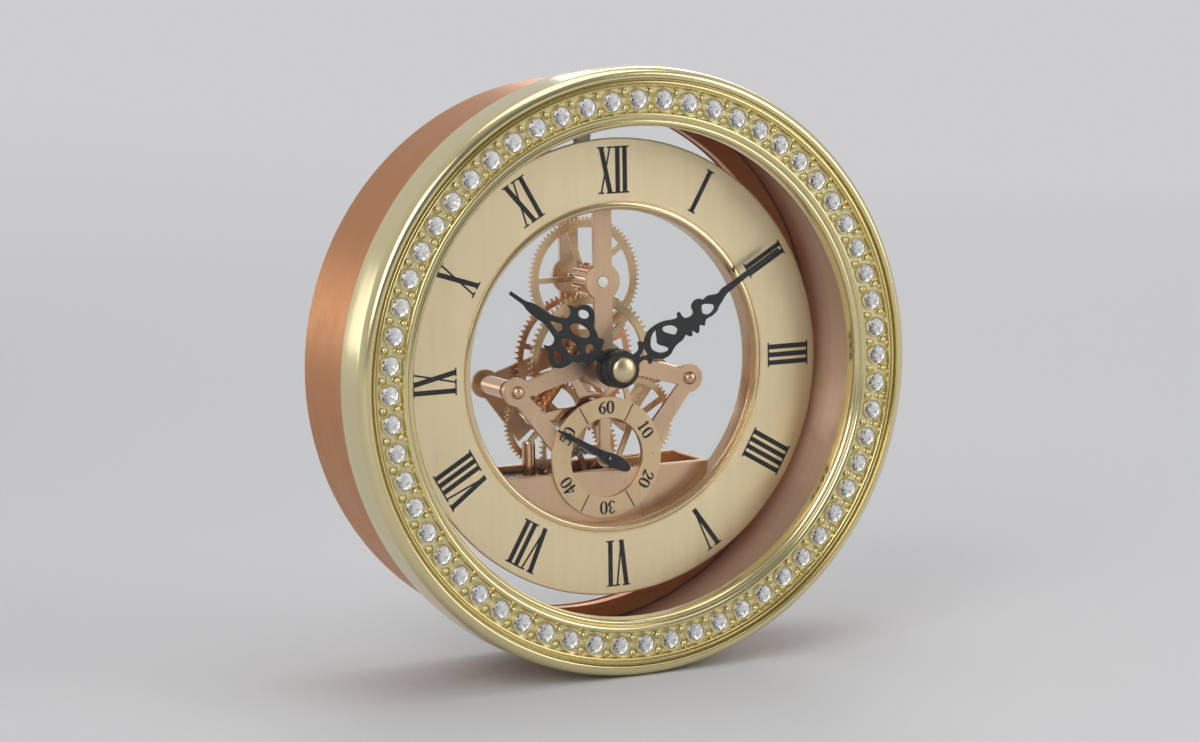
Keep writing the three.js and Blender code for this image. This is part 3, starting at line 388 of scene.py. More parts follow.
# Paint, print and the like: colour, roughness, fineness and depth of the skin, change of tone.
BLACK = coated("black_lacquer", (14, 14, 15), 0.42, 1800, 0.01, 0.2)
PRINT = coated("black_print", (12, 11, 10), 0.5, 5000, 0.004, 0.15)
JEWEL = coated("bearing_jewel", (240, 236, 228), 0.2, 1800, 0.002, 0.03, coat=0.6)
FOIL = coated("stone_foil", (250, 248, 246), 0.09, 1800, 0.001, 0.02, metallic=0.7)
BOARD = coated("driver_board", (92, 66, 46), 0.42, 900, 0.004, 0.2, coat=0.3)
KNOB = coated("knob_black", (30, 31, 33), 0.42, 2600, 0.006, 0.15)

PANE_GLASS = clear("pane_glass", (0.98, 0.99, 0.985, 1), 1.2, 0.01)
CRYSTAL = clear("stone_crystal", (1, 1, 1, 1), 1.8, 0)
CELL_SLEEVE = cell_sleeve()

# Slots, and the finishes that fill them.
SLOTS = {
    "gold": [GOLD, GOLD_SATIN, GOLD_BEAD], "crystal": [CRYSTAL, FOIL], "copper": [COPPER], "pane": [PANE_GLASS],
    "champagne": [CHAMPAGNE, SMALL_DIAL], "bright": [BRIGHT, SCREW, CAP], "black": [PRINT, BLACK],
    "rose": [ROSE], "rose_bright": [ROSE_BRIGHT, HOOP], "steel": [STEEL], "jewel": [JEWEL],
    "cell": [CELL_SLEEVE], "board": [BOARD], "door": [DOOR], "knob": [KNOB], "magnet": [MAGNET], "wire": [WIRE],
    "wheel_brass": [WHEEL_UPPER, WHEEL_MIDDLE, WHEEL_CENTRE, WHEEL_THIRD, WHEEL_SECONDS, WHEEL_SIDE],
}


# Outlines and sections.
def spot(x, depth, z):
    return Vector((x, depth - REAR, z - SCREW_Z)) * MM


def on_axis(x, depth, z):
    """Place for a part that all_round() sets: its axis is the line x = z = 0."""
    return Vector((x, depth - REAR, z)) * MM


def turned_loops(loops, degrees, centre=CENTRE):
    """Outlines turned clockwise about the axis, as seen from the front, then moved to a centre."""
    c, s = cos(radians(degrees)), sin(radians(degrees))
    return [[(x * c + z * s + centre[0], z * c - x * s + centre[1]) for x, z in loop] for loop in loops]


def round_points(r, count=64, centre=CENTRE):
    return [(centre[0] + r * cos(tau * i / count), centre[1] + r * sin(tau * i / count)) for i in range(count)]


def discs(r, count, *centres):
    """Round outlines of one size about several centres."""
    return [round_points(r, count, centre) for centre in centres]


def ellipse(x, z, rx, rz, lean=0, count=32):
    a = radians(lean)
    halves = [(rx * cos(tau * i / count), rz * sin(tau * i / count)) for i in range(count)]
    return [(x + u * cos(a) - v * sin(a), z + u * sin(a) + v * cos(a)) for u, v in halves]


def arc(r, depth, wide, deep, degrees):
    """Points of (radius, depth) at these angles of an ellipse."""
    return [(r + wide * cos(radians(a)), depth - deep * sin(radians(a))) for a in degrees]


def box(x0, x1, z0, z1):
    return [(x0, z0), (x1, z0), (x1, z1), (x0, z1)]


def bar(start, w0, end, w1):
    """Tapered bar between two points, with its own width at each end."""
    along = (Vector(end) - Vector(start)).normalized()
    side = Vector((-along.y, along.x)) / 2
    start, end = Vector(start), Vector(end)
    return [tuple(p) for p in (start - side * w0, end - side * w1, end + side * w1, start + side * w0)]


def rounded(loop, radius, steps=3):
    """Closed loop with every corner off the axis turned into a small arc."""
    made = []
    for i, corner in enumerate(loop):
        here = Vector(corner)
        before = Vector(loop[i - 1]) - here
        after = Vector(loop[(i + 1) % len(loop)]) - here
        if corner[0] < NOTHING:
            made.append(tuple(here))
            continue
        start = here + before.normalized() * min(radius, before.length * 0.45)
        end = here + after.normalized() * min(radius, after.length * 0.45)
        for k in range(steps + 1):
            t = k / steps
            made.append(tuple((1 - t) ** 2 * start + 2 * t * (1 - t) * here + t * t * end))
    return made


def between(p0, p1, p2, p3, t):
    """Point on the smooth curve from p1 to p2 that p0 and p3 bend."""
    return 0.5 * (
        2 * p1 + (p2 - p0) * t + (2 * p0 - 5 * p1 + 4 * p2 - p3) * t * t + (3 * p1 - p0 - 3 * p2 + p3) * t ** 3
    )


def flowing(points, steps=4, corner=62):
    """Closed outline made smooth between its sharp corners."""
    count = len(points)
    places = [Vector(p) for p in points]
    sharp = []
    for i, here in enumerate(places):
        turn = (here - places[i - 1]).angle(places[(i + 1) % count] - here, 0)
        sharp.append(turn > radians(corner))
    made = []
    for i in range(count):
        p1, p2 = places[i], places[(i + 1) % count]
        p0 = p1 if sharp[i] else places[i - 1]
        p3 = p2 if sharp[(i + 1) % count] else places[(i + 2) % count]
        made += [tuple(between(p0, p1, p2, p3, k / steps)) for k in range(steps)]
    return made


def area_of(poly):
    return sum(a[0] * b[1] - b[0] * a[1] for a, b in zip(poly, poly[1:] + poly[:1])) / 2


def united(solids, holes=()):
    """Outlines of several overlapping polygons taken together, less the holes."""
    corners, faces = [], []
    for poly in [*solids, *holes]:
        turned = poly if area_of(poly) > 0 else poly[::-1]
        faces.append(list(range(len(corners), len(corners) + len(turned))))
        corners += [Vector(p) for p in turned]
    places, _, cells, _, _, sources = geometry.delaunay_2d_cdt(corners, [], faces, 0, 1e-5, True)
    kept = set()
    for cell, source in zip(cells, sources):
        if source and max(source) < len(solids):
            kept.update(zip(cell, cell[1:] + cell[:1]))
    after = {}
    for a, b in kept:
        if (b, a) not in kept:
            after.setdefault(a, []).append(b)
    loops = []
    while after:
        start = min(after)
        loop = [start]
        here = after[start].pop()
        while here != start:
            loop.append(here)
            here = after[here].pop()
        after = {a: b for a, b in after.items() if b}
        loops.append([tuple(places[i]) for i in loop])
    return loops


# Meshes.
def new_piece(name, mesh):
    piece = bpy.data.objects.new(name, mesh)
    bpy.context.scene.collection.objects.link(piece)
    return piece


def evaluated_mesh(piece):
    return bpy.data.meshes.new_from_object(piece.evaluated_get(bpy.context.evaluated_depsgraph_get()))


def mesh_from(work, name):
    """Mesh that a finished working copy leaves."""
    mesh = bpy.data.meshes.new(name)
    work.to_mesh(mesh)
    work.free()
    return mesh


def cleaned(mesh, reach=WELD):
    """Merges doubled corners and turns every face outwards."""
    work = bmesh.new()
    work.from_mesh(mesh)
    bmesh.ops.remove_doubles(work, verts=work.verts, dist=reach)
    bmesh.ops.dissolve_degenerate(work, edges=work.edges, dist=reach)
    bmesh.ops.recalc_face_normals(work, faces=work.faces)
    work.to_mesh(mesh)
    work.free()
    return mesh


def mesh_of(name, corners, faces):
    mesh = bpy.data.meshes.new(name)
    mesh.from_pydata([tuple(c) for c in corners], [], faces)
    return cleaned(mesh)


def lathe(name, loop, segments=48, centre=CENTRE, place=spot):
    """Piece turned about an arbor along Y from a loop of (radius, depth) points."""
    corners, rows = [], []
    for r, depth in loop:
        if r < NOTHING:
            rows.append([len(corners)])
            corners.append(place(centre[0], depth, centre[1]))
            continue
        rows.append(list(range(len(corners), len(corners) + segments)))
        for i in range(segments):
            a = tau * i / segments
            corners.append(place(centre[0] + r * sin(a), depth, centre[1] + r * cos(a)))
    faces = []
    for a, b in zip(rows, rows[1:] + rows[:1]):
        for i in range(segments):
            j = (i + 1) % segments
            quad = list(dict.fromkeys([a[i % len(a)], a[j % len(a)], b[j % len(b)], b[i % len(b)]]))
            if len(quad) > 2:
                faces.append(quad)
    return mesh_of(name, corners, faces)


def ring(name, r0, r1, d0, d1, segments=64, centre=CENTRE, edge=0.12, place=spot):
    """Turned ring, or a disc where r0 is 0, with rounded edges."""
    return lathe(name, rounded(box(r0, r1, d0, d1), edge), segments, centre, place)


def sheet(name, loops, d0, d1, edge=0.08, steps=2):
    """Flat piece cut from closed outlines in X and Z, with a small round on every edge."""
    curve = bpy.data.curves.new(name, "CURVE")
    curve.dimensions = "2D"
    curve.fill_mode = "BOTH"
    curve.extrude = (d1 - d0) / 2 - edge
    curve.bevel_depth = edge
    curve.bevel_resolution = steps
    curve.offset = -edge
    for loop in loops:
        spline = curve.splines.new("POLY")
        spline.points.add(len(loop) - 1)
        for point, (x, z) in zip(spline.points, loop):
            point.co = (x, z, 0, 1)
        spline.use_cyclic_u = True
    drawn = new_piece(name + "_outline", curve)
    mesh = evaluated_mesh(drawn)
    bpy.data.objects.remove(drawn)
    bpy.data.curves.remove(curve)
    cleaned(mesh, 1e-4)
    upright = Matrix.Rotation(pi / 2, 4, "X")
    mesh.transform(Matrix.Translation(spot(0, (d0 + d1) / 2, 0)) @ Matrix.Scale(MM, 4) @ upright)
    return mesh


def block(name, x0, x1, d0, d1, z0, z1, edge=0.2):
    """Box with rounded edges."""
    work = bmesh.new()
    bmesh.ops.create_cube(work, size=1)
    middle = spot((x0 + x1) / 2, (d0 + d1) / 2, (z0 + z1) / 2)
    size = Matrix.Diagonal(Vector((x1 - x0, d1 - d0, z1 - z0, 1 / MM)) * MM)
    bmesh.ops.transform(work, matrix=Matrix.Translation(middle) @ size, verts=work.verts)
    bmesh.ops.bevel(work, geom=work.edges, offset=edge * MM, segments=3, profile=0.5, affect="EDGES")
    bmesh.ops.recalc_face_normals(work, faces=work.faces)
    return mesh_from(work, name)


def joined(name, *parts):
    """One mesh from several. A part may be a pair: the number of its finish, and its mesh."""
    work = bmesh.new()
    for part in parts:
        number, mesh = part if isinstance(part, tuple) else (0, part)
        before = len(work.faces)
        work.from_mesh(mesh)
        work.faces.ensure_lookup_table()
        for face in work.faces[before:]:
            face.material_index = number
    return mesh_from(work, name)


def dress(mesh, looks, solid=None, body="case", crease=32):
    """Piece from a mesh, with its finishes, the solid that it stands for and its body."""
    looks = looks if isinstance(looks, list) else [looks]
    piece = new_piece(mesh.name, mesh)
    mesh.materials.clear()
    for look in looks:
        mesh.materials.append(look)
    mesh.shade_smooth()
    mesh.set_sharp_from_angle(angle=radians(crease))
    piece.modifiers.new("even", "WEIGHTED_NORMAL").keep_sharp = True
    piece.data = evaluated_mesh(piece)
    piece.data.name = piece.name
    piece.modifiers.clear()
    bpy.data.meshes.remove(mesh)
    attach(piece, body)
    next(slot for slot, fills in SLOTS.items() if looks[0] in fills)
    if solid:
        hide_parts(solid)
    return piece


# Geometry Nodes trees.
def finished(tree, shape, given, result):
    """Ends a tree with real geometry in its finish."""
    real = node(tree, "GeometryNodeRealizeInstances", {0: shape})
    done = node(tree, "GeometryNodeSetMaterial", {0: real.outputs[0], "Material": given["Finish"]})
    tree.links.new(done.outputs[0], result["Geometry"])
    return tree


def merged(tree, shape):
    return node(tree, "GeometryNodeMergeByDistance", {"Geometry": shape, "Distance": WELD}).outputs[0]


def set_out_tree():
    """Copies of one piece, each moved by a step and turned about Y after the one before."""
    tree, given, result = group("set_out", "GeometryNodeTree", [
        ("Piece", "NodeSocketObject", None), ("Count", WHOLE, 12), ("Turn", NUMBER, 0), ("Start", NUMBER, 0),
        ("Centre", VECTOR, (0, 0, 0)), ("Step", VECTOR, (0, 0, 0)), FINISH,
    ], SHAPE)
    number = node(tree, "GeometryNodeInputIndex").outputs[0]
    moved = node(tree, "ShaderNodeVectorMath", {0: given["Step"], "Scale": number}, operation="SCALE")
    place = node(tree, "ShaderNodeVectorMath", {0: given["Centre"], 1: moved.outputs[0]}, operation="ADD")
    points = node(tree, "GeometryNodePoints", {"Count": given["Count"], "Position": place.outputs[0]})
    angle = reckoner(tree)("MULTIPLY_ADD", number, given["Turn"], given["Start"])
    source = node(tree, "GeometryNodeObjectInfo", {"Object": given["Piece"]})
    copies = node(tree, "GeometryNodeInstanceOnPoints", {
        "Points": points.outputs[0], "Instance": source.outputs["Geometry"],
        "Rotation": point(tree, y=angle),
    })
    real = node(tree, "GeometryNodeRealizeInstances", {0: copies.outputs[0]})
    return finished(tree, merged(tree, real.outputs[0]), given, result)


def wound_wire_tree():
    """Wire wound about Z from one radius to another."""
    tree, given, result = group("wound_wire", "GeometryNodeTree", [
        ("Turns", NUMBER, 5), ("First Radius", NUMBER, 0.002), ("Last Radius", NUMBER, 0.002),
        ("Length", NUMBER, 0.01), ("Wire Radius", NUMBER, 0.0001), ("Sides", WHOLE, 8), ("Steps", WHOLE, 24),
        FINISH,
    ], SHAPE)
    path = node(tree, "GeometryNodeCurveSpiral", {
        "Resolution": given["Steps"], "Rotations": given["Turns"], "Start Radius": given["First Radius"],
        "End Radius": given["Last Radius"], "Height": given["Length"],
    })
    section = node(tree, "GeometryNodeCurvePrimitiveCircle", {
        "Resolution": given["Sides"], "Radius": given["Wire Radius"],
    })
    wire = node(tree, "GeometryNodeCurveToMesh", {
        "Curve": path.outputs[0], "Profile Curve": section.outputs[0], "Fill Caps": True,
    })
    return finished(tree, wire.outputs[0], given, result)


# Outline of one tooth: rise over the pitch circle in modules, place across the tooth in pitches.
WHEEL_TOOTH = [(-1.08, 0.25), (-0.6, 0.2), (0.1, 0.185), (0.62, 0.145), (0.9, 0.085)]
LEAF = [(-1.2, 0.27), (-0.8, 0.23), (0, 0.21), (0.42, 0.17), (0.62, 0.08)]
TOOTH_POINTS = 2 * len(WHEEL_TOOTH)
WINDOW_SIDE = 14


def both_flanks(half):
    return [(rise, -across) for rise, across in half] + half[::-1]


def picked(tree, number, values):
    """Value at this number in a short list."""
    switch = node(tree, "GeometryNodeIndexSwitch", data_type="FLOAT")
    while len(switch.index_switch_items) < len(values):
        switch.index_switch_items.new()
    tree.links.new(number, switch.inputs[0])
    for i, value in enumerate(values):
        switch.inputs[i + 1].default_value = value
    return switch.outputs[0]


def toothed_wheel_tree():
    """Flat wheel in X and Z with teeth or leaves, and windows between its spokes."""
    tree, given, result = group("toothed_wheel", "GeometryNodeTree", [
        ("Teeth", WHOLE, 60), ("Module", NUMBER, 0.0004), ("Leaves", NUMBER, 0), ("Phase", NUMBER, 0),
        ("Thickness", NUMBER, 0.0008), ("Spokes", WHOLE, 5), ("Spoke Half", NUMBER, 0.00075),
        ("Hub Radius", NUMBER, 0.003), ("Rim Radius", NUMBER, 0.01), ("Lean", NUMBER, 0),
        ("Back", VECTOR, (0, 0, 0)), FINISH,
    ], SHAPE)
    number = node(tree, "GeometryNodeInputIndex").outputs[0]
    sums = reckoner(tree)

    def chosen(share, first, second):
        return node(tree, "ShaderNodeMix", {0: share, 2: first, 3: second}, data_type="FLOAT").outputs[0]

    def drawn(count, radius, angle):
        """Closed line with these points, given by radius and angle."""
        line = node(tree, "GeometryNodeCurvePrimitiveCircle", {"Resolution": count, "Radius": 0.01})
        place = point(tree, *[sums("MULTIPLY", radius, sums(part, angle)) for part in ("COSINE", "SINE")])
        return node(tree, "GeometryNodeSetPosition", {"Geometry": line.outputs[0], "Position": place}).outputs[0]

    step = sums("FLOORED_MODULO", number, TOOTH_POINTS)
    tooth = sums("FLOOR", sums("DIVIDE", sums("ADD", number, 0.5), TOOTH_POINTS))
    flanks = [both_flanks(half) for half in (WHEEL_TOOTH, LEAF)]
    rise, across = [
        chosen(given["Leaves"], *[picked(tree, step, [p[k] for p in flank]) for flank in flanks]) for k in (0, 1)
    ]
    pitch = sums("DIVIDE", tau, given["Teeth"])
    angle = sums("MULTIPLY_ADD", sums("ADD", tooth, across), pitch, given["Phase"])
    radius = sums("MULTIPLY", sums("ADD", sums("MULTIPLY", given["Teeth"], 0.5), rise), given["Module"])
    outline = drawn(sums("MULTIPLY", given["Teeth"], TOOTH_POINTS), radius, angle)

    # A window runs out along its rim and back along the hub, with straight sides beside the spokes.
    last = WINDOW_SIDE - 1
    outer = sums("LESS_THAN", number, WINDOW_SIDE - 0.5)
    there = sums("DIVIDE", number, last)
    back = sums("SUBTRACT", 1, sums("DIVIDE", sums("SUBTRACT", number, WINDOW_SIDE), last))
    reach = chosen(outer, given["Hub Radius"], given["Rim Radius"])
    margin = sums("ARCSINE", sums("DIVIDE", given["Spoke Half"], reach))
    sector = sums("DIVIDE", tau, given["Spokes"])
    free = sums("SUBTRACT", sector, sums("MULTIPLY", margin, 2))
    window = drawn(2 * WINDOW_SIDE, reach, sums("MULTIPLY_ADD", chosen(outer, back, there), free, margin))
    lean = sums("MULTIPLY_ADD", number, sector, given["Lean"])
    windows = node(tree, "GeometryNodeInstanceOnPoints", {
        "Points": node(tree, "GeometryNodePoints", {"Count": given["Spokes"]}).outputs[0],
        "Instance": window,
        "Rotation": point(tree, z=lean),
    })
    cut = node(tree, "GeometryNodeRealizeInstances", {0: windows.outputs[0]})

    def together(*shapes):
        made = node(tree, "GeometryNodeJoinGeometry")
        for shape in shapes:
            tree.links.new(shape, made.inputs[0])
        return made.outputs[0]

    lines = together(outline, cut.outputs[0])
    face = node(tree, "GeometryNodeFillCurve", {"Curve": lines}, mode="NGONS").outputs[0]
    raised = node(tree, "GeometryNodeExtrudeMesh", {
        "Mesh": face, "Offset Scale": given["Thickness"], "Individual": False,
    }, mode="FACES")
    under = node(tree, "GeometryNodeFlipFaces", {"Mesh": face})
    upright = node(tree, "GeometryNodeTransform", {
        "Geometry": merged(tree, together(raised.outputs[0], under.outputs[0])),
        "Translation": given["Back"], "Rotation": (pi / 2, 0, 0),
    })
    return finished(tree, upright.outputs[0], given, result)


SET_OUT = set_out_tree()
WOUND_WIRE = wound_wire_tree()
TOOTHED_WHEEL = toothed_wheel_tree()


def grown(name, tree, values, chamfer=0):
    """Plain mesh made by a Geometry Nodes tree with these values, its edges eased if asked."""
    holder = new_piece(name + "_holder", bpy.data.meshes.new(name + "_holder"))
    modifier = holder.modifiers.new("grow", "NODES")
    modifier.node_group = tree
    for item in tree.interface.items_tree:
        if item.item_type == "SOCKET" and item.in_out == "INPUT" and item.name in values:
            modifier[item.identifier] = values[item.name]
    if chamfer:
        ease = holder.modifiers.new("ease", "BEVEL")
        ease.width = chamfer * MM
        ease.segments = 2
        ease.limit_method = "ANGLE"
        ease.angle_limit = radians(50)
    bpy.context.view_layer.update()
    mesh = evaluated_mesh(holder)
    mesh.name = name
    blank = holder.data
    bpy.data.objects.remove(holder)
    bpy.data.meshes.remove(blank)
    return mesh


def repeated(name, part, count, look, **values):
    """Copies of a part, set out by the tree."""
    source = new_piece(name + "_part", part)
    mesh = grown(name, SET_OUT, {"Piece": source, "Count": count, "Finish": look, **values})
    bpy.data.objects.remove(source)
    return mesh


def all_round(name, part, count, look, start=0, centre=CENTRE):
    """Copies of a part that is drawn about the dial's axis, set evenly round a centre."""
    middle = tuple(spot(centre[0], REAR, centre[1]))
    return repeated(name, part, count, look, Turn=tau / count, Start=radians(start), Centre=middle)


def in_row(name, part, count, step, look):
    return repeated(name, part, count, look, Step=tuple(Vector(step) * MM))


def wound(name, turns, first, last, length, thick, sides, steps, look):
    return grown(name, WOUND_WIRE, {
        "Turns": turns, "First Radius": first * MM, "Last Radius": last * MM, "Length": length * MM,
        "Wire Radius": thick * MM, "Sides": sides, "Steps": steps, "Finish": look,
    })


# Case, bezel and panes.
def add_bezel():
    outer_roll = arc(77.8, 2.2, 2.2, 3.3, range(0, 91, 9))
    inner_roll = arc(66, 1.9, 1.4, 2, range(100, 181, 10))
    loop = [
        (BEZEL_R - 0.25, BEZEL_SKIRT), (BEZEL_R, BEZEL_SKIRT - 0.25), (BEZEL_R, 7.4), (BEZEL_R, 4.6), *outer_roll,
        (77.3, -1.06), (77.1, -0.9), (76.95, -0.2), (76.85, 0.35), (76.6, 0.4), (76.45, 0.2), (76.35, -0.5),
        (76.2, -0.68), (75.95, -0.7), (75.8, -0.5), (75.7, -0.12), (75.6, -0.1), (75.5, -0.42), (75.35, -0.55),
        (75.2, -0.52), (75.05, -0.3), (74.95, 0.2), (74.8, 0.7), (74.6, FLOOR), (68.6, FLOOR), (68.35, 0.6),
        (68.1, -0.2), (67.9, -0.48), (67.5, -0.58), (67.1, -0.5), (66.75, -0.24), (66.6, 0.02), (66.45, -0.14),
        (66.3, -0.12), (66.15, 0.12), *inner_roll, (64.6, BEZEL_BACK - 0.2), (64.8, BEZEL_BACK),
        (CASE_R + 0.3, BEZEL_BACK), (CASE_R + 0.3, BEZEL_SKIRT - 0.2), (CASE_R + 0.5, BEZEL_SKIRT),
    ]
    made = dress(lathe("bezel_ring", loop, 288), [GOLD, GOLD_SATIN], "bezel", crease=50)
    for face in made.data.polygons:
        if abs(face.center.y - spot(0, FLOOR, 0).y) < 0.02 * MM:
            face.material_index = 1


def cut_stone():
    """Stone with a flat table, a crown of facets and a pointed back."""
    work = bmesh.new()
    for r, depth, count, shift in (
        (1.32, -0.72, 8, 0), (1.98, -0.4, 8, 0.5), (2.34, -0.02, 16, 0.5), (2.34, 0.1, 16, 0.5), (0.2, 0.72, 4, 0),
    ):
        for i in range(count):
            a = tau * (i + shift) / count
            work.verts.new(on_axis(r * sin(a), depth, STONE_CIRCLE + r * cos(a)))
    bmesh.ops.convex_hull(work, input=work.verts)
    bmesh.ops.recalc_face_normals(work, faces=work.faces)
    return mesh_from(work, "stone")


def curl(z, first, sweep=200, radius=1.22, steps=12):
    """Raised ridge that runs part of the way round a bead, counted clockwise from the top."""
    profile = [(-0.17, 0.83), (-0.17, 0.5), (0, 0.36), (0.17, 0.5), (0.17, 0.83)]
    wide = len(profile)
    corners, faces = [], []
    for i in range(steps + 1):
        a = radians(first + sweep * i / steps)
        for across, depth in profile:
            r = radius + across
            corners.append(on_axis(r * sin(a), depth, z + r * cos(a)))
    for i in range(0, steps * wide, wide):
        for k in range(wide):
            n = (k + 1) % wide
            faces.append([i + k, i + wide + k, i + wide + n, i + n])
    faces += [list(range(wide)), [steps * wide + k for k in range(wide)]]
    return mesh_of("curl", corners, faces)


def add_stones():
    """Sixty cut stones over bright foil, each in a collar, with two beads in every gap."""
    centre = (0, STONE_CIRCLE)
    foil = [(0, 0.765), (1.2, 0.44), (2.34, 0.17), (2.38, 0.2), (2.38, 0.82), (0, 0.82)]
    collar = [(2.56, 0.83), (2.56, 0.14), (2.62, 0.01), (2.7, -0.02), (2.8, 0.1), (2.88, 0.5), (2.98, 0.83)]
    bead = [(0.84, 0.83), *arc(0, 0.45, 0.84, 0.86, (0, 24, 46, 68)), (0, -0.41), (0, 0.83)]
    beads = []
    for z, first in ((73.62, 160), (69.6, -20)):
        beads += [lathe("bead", bead, 12, (0, z), on_axis), curl(z, first)]
    for name, solid, part, look, crease, start in (
        ("stones", "crystal_band", cut_stone(), CRYSTAL, 1, 0),
        ("stone_foils", None, lathe("foil", foil, 8, centre, on_axis), FOIL, 1, 0),
        ("stone_collars", None, lathe("collar", collar, 20, centre, on_axis), GOLD_SATIN, 50, 0),
        ("gold_beads", None, joined("beads", *beads), GOLD_BEAD, 60, 180 / STONES),
    ):
        dress(all_round(name, part, STONES, look, start), look, solid, crease=crease)


def add_case():
    drum = ring("case_drum", CASE_BORE, CASE_R, BEZEL_BACK, REAR, 256, edge=0.3)
    drum = dress(drum, [COPPER, COPPER_INSIDE], "case_tube")
    for face in drum.data.polygons:
        if face.center.x * face.normal.x + (face.center.z + SCREW_Z * MM) * face.normal.z < -CASE_BORE * MM / 2:
            face.material_index = 1
    pane = ring("front_pane", 0, PANE_R - SKIN, BEZEL_BACK + SKIN, BEZEL_BACK + PANE - SKIN, 192, edge=0.25)
    dress(pane, PANE_GLASS, "front_glass")
    for name, solid, front, back in (
        ("glass_retainer", "glass_ring", BEZEL_BACK + PANE, BEZEL_BACK + 2 * PANE),
        ("pane_seat", "rear_seat", REAR_PANE_FRONT - 3, REAR_PANE_FRONT),
        ("pane_retainer", "rear_ring", REAR_PANE_BACK, REAR),
    ):
        dress(ring(name, SEAT_BORE, PANE_R, front, back, 192), COPPER, solid)


# Dial and numerals.
def add_dial():
    face = [
        (DIAL_BORE, DIAL_BACK), (DIAL_BORE, DIAL_FRONT), (43.95, DIAL_FRONT), (44.05, DIAL_FRONT + 0.16),
        (44.3, DIAL_FRONT + 0.16), (44.4, DIAL_FRONT), (DIAL_R - 0.5, DIAL_FRONT),
        (DIAL_R - 0.14, DIAL_FRONT + 0.1), (DIAL_R, DIAL_FRONT + 0.32), (DIAL_R, DIAL_BACK),
    ]
    rim = [
        (DIAL_BORE, DIAL_FRONT), (DIAL_BORE, 15.34), (42.62, 15.22), (42.9, 15.2), (43.3, 15.24), (43.7, 15.36),
        (43.88, 15.48), (43.9, DIAL_FRONT),
    ]
    dress(lathe("dial_plate", face, 256), CHAMPAGNE, "dial_ring", crease=20)
    dress(lathe("dial_inner_rim", rim, 256), BRIGHT, "dial_rim", crease=60)
    hoop = ring("dial_spacer_hoop", 41.8, 43.3, DIAL_BACK, PLATE_FRONT, 256, edge=0.3)
    dress(hoop, HOOP, "dial_hoop")


# Letters of the numerals: width of the body, then strokes (foot, head and width) and serifs (place,
# foot and half width), all from the letter's middle.
LOW, HIGH = 46.2, 58.6
SERIF = 0.42
HEAD = HIGH - SERIF
LETTERS = {
    "I": (2.15, [(0, 0, 1.3)], [(0, LOW, 1.2), (0, HEAD, 1.2)]),
    "V": (4.7, [(0.15, -1.3, 1.35), (0.1, 1.5, 0.5)], [(-1.3, HEAD, 1.15), (1.5, HEAD, 0.85)]),
    "X": (4.9, [(1.35, -1.35, 1.35), (-1.35, 1.35, 0.5)],
          [(-1.35, HEAD, 1.1), (1.35, HEAD, 0.9), (-1.35, LOW, 0.9), (1.35, LOW, 1.1)]),
}
HOURS = ["XII", "I", "II", "III", "IIII", "V", "VI", "VII", "VIII", "IX", "X", "XI"]


def numeral(letters):
    """Polygons of a Roman numeral centred on x = 0, with its feet towards the dial's centre."""
    x = -sum(LETTERS[c][0] for c in letters) / 2
    solids = []
    for c in letters:
        wide, strokes, serifs = LETTERS[c]
        middle = x + wide / 2
        for foot, head, pen in strokes:
            a, b, half = middle + foot, middle + head, pen / 2
            solids.append([(a - half, LOW), (a + half, LOW), (b + half, HIGH), (b - half, HIGH)])
        solids += [box(middle + at - half, middle + at + half, z, z + SERIF) for at, z, half in serifs]
        x += wide
    return solids


def add_numerals():
    loops = []
    for hour, letters in enumerate(HOURS):
        loops += turned_loops(united(numeral(letters)), 30 * hour)
    dress(sheet("hour_numerals", loops, DIAL_FRONT - 0.06, DIAL_FRONT + 0.04, 0.02, 1), PRINT)


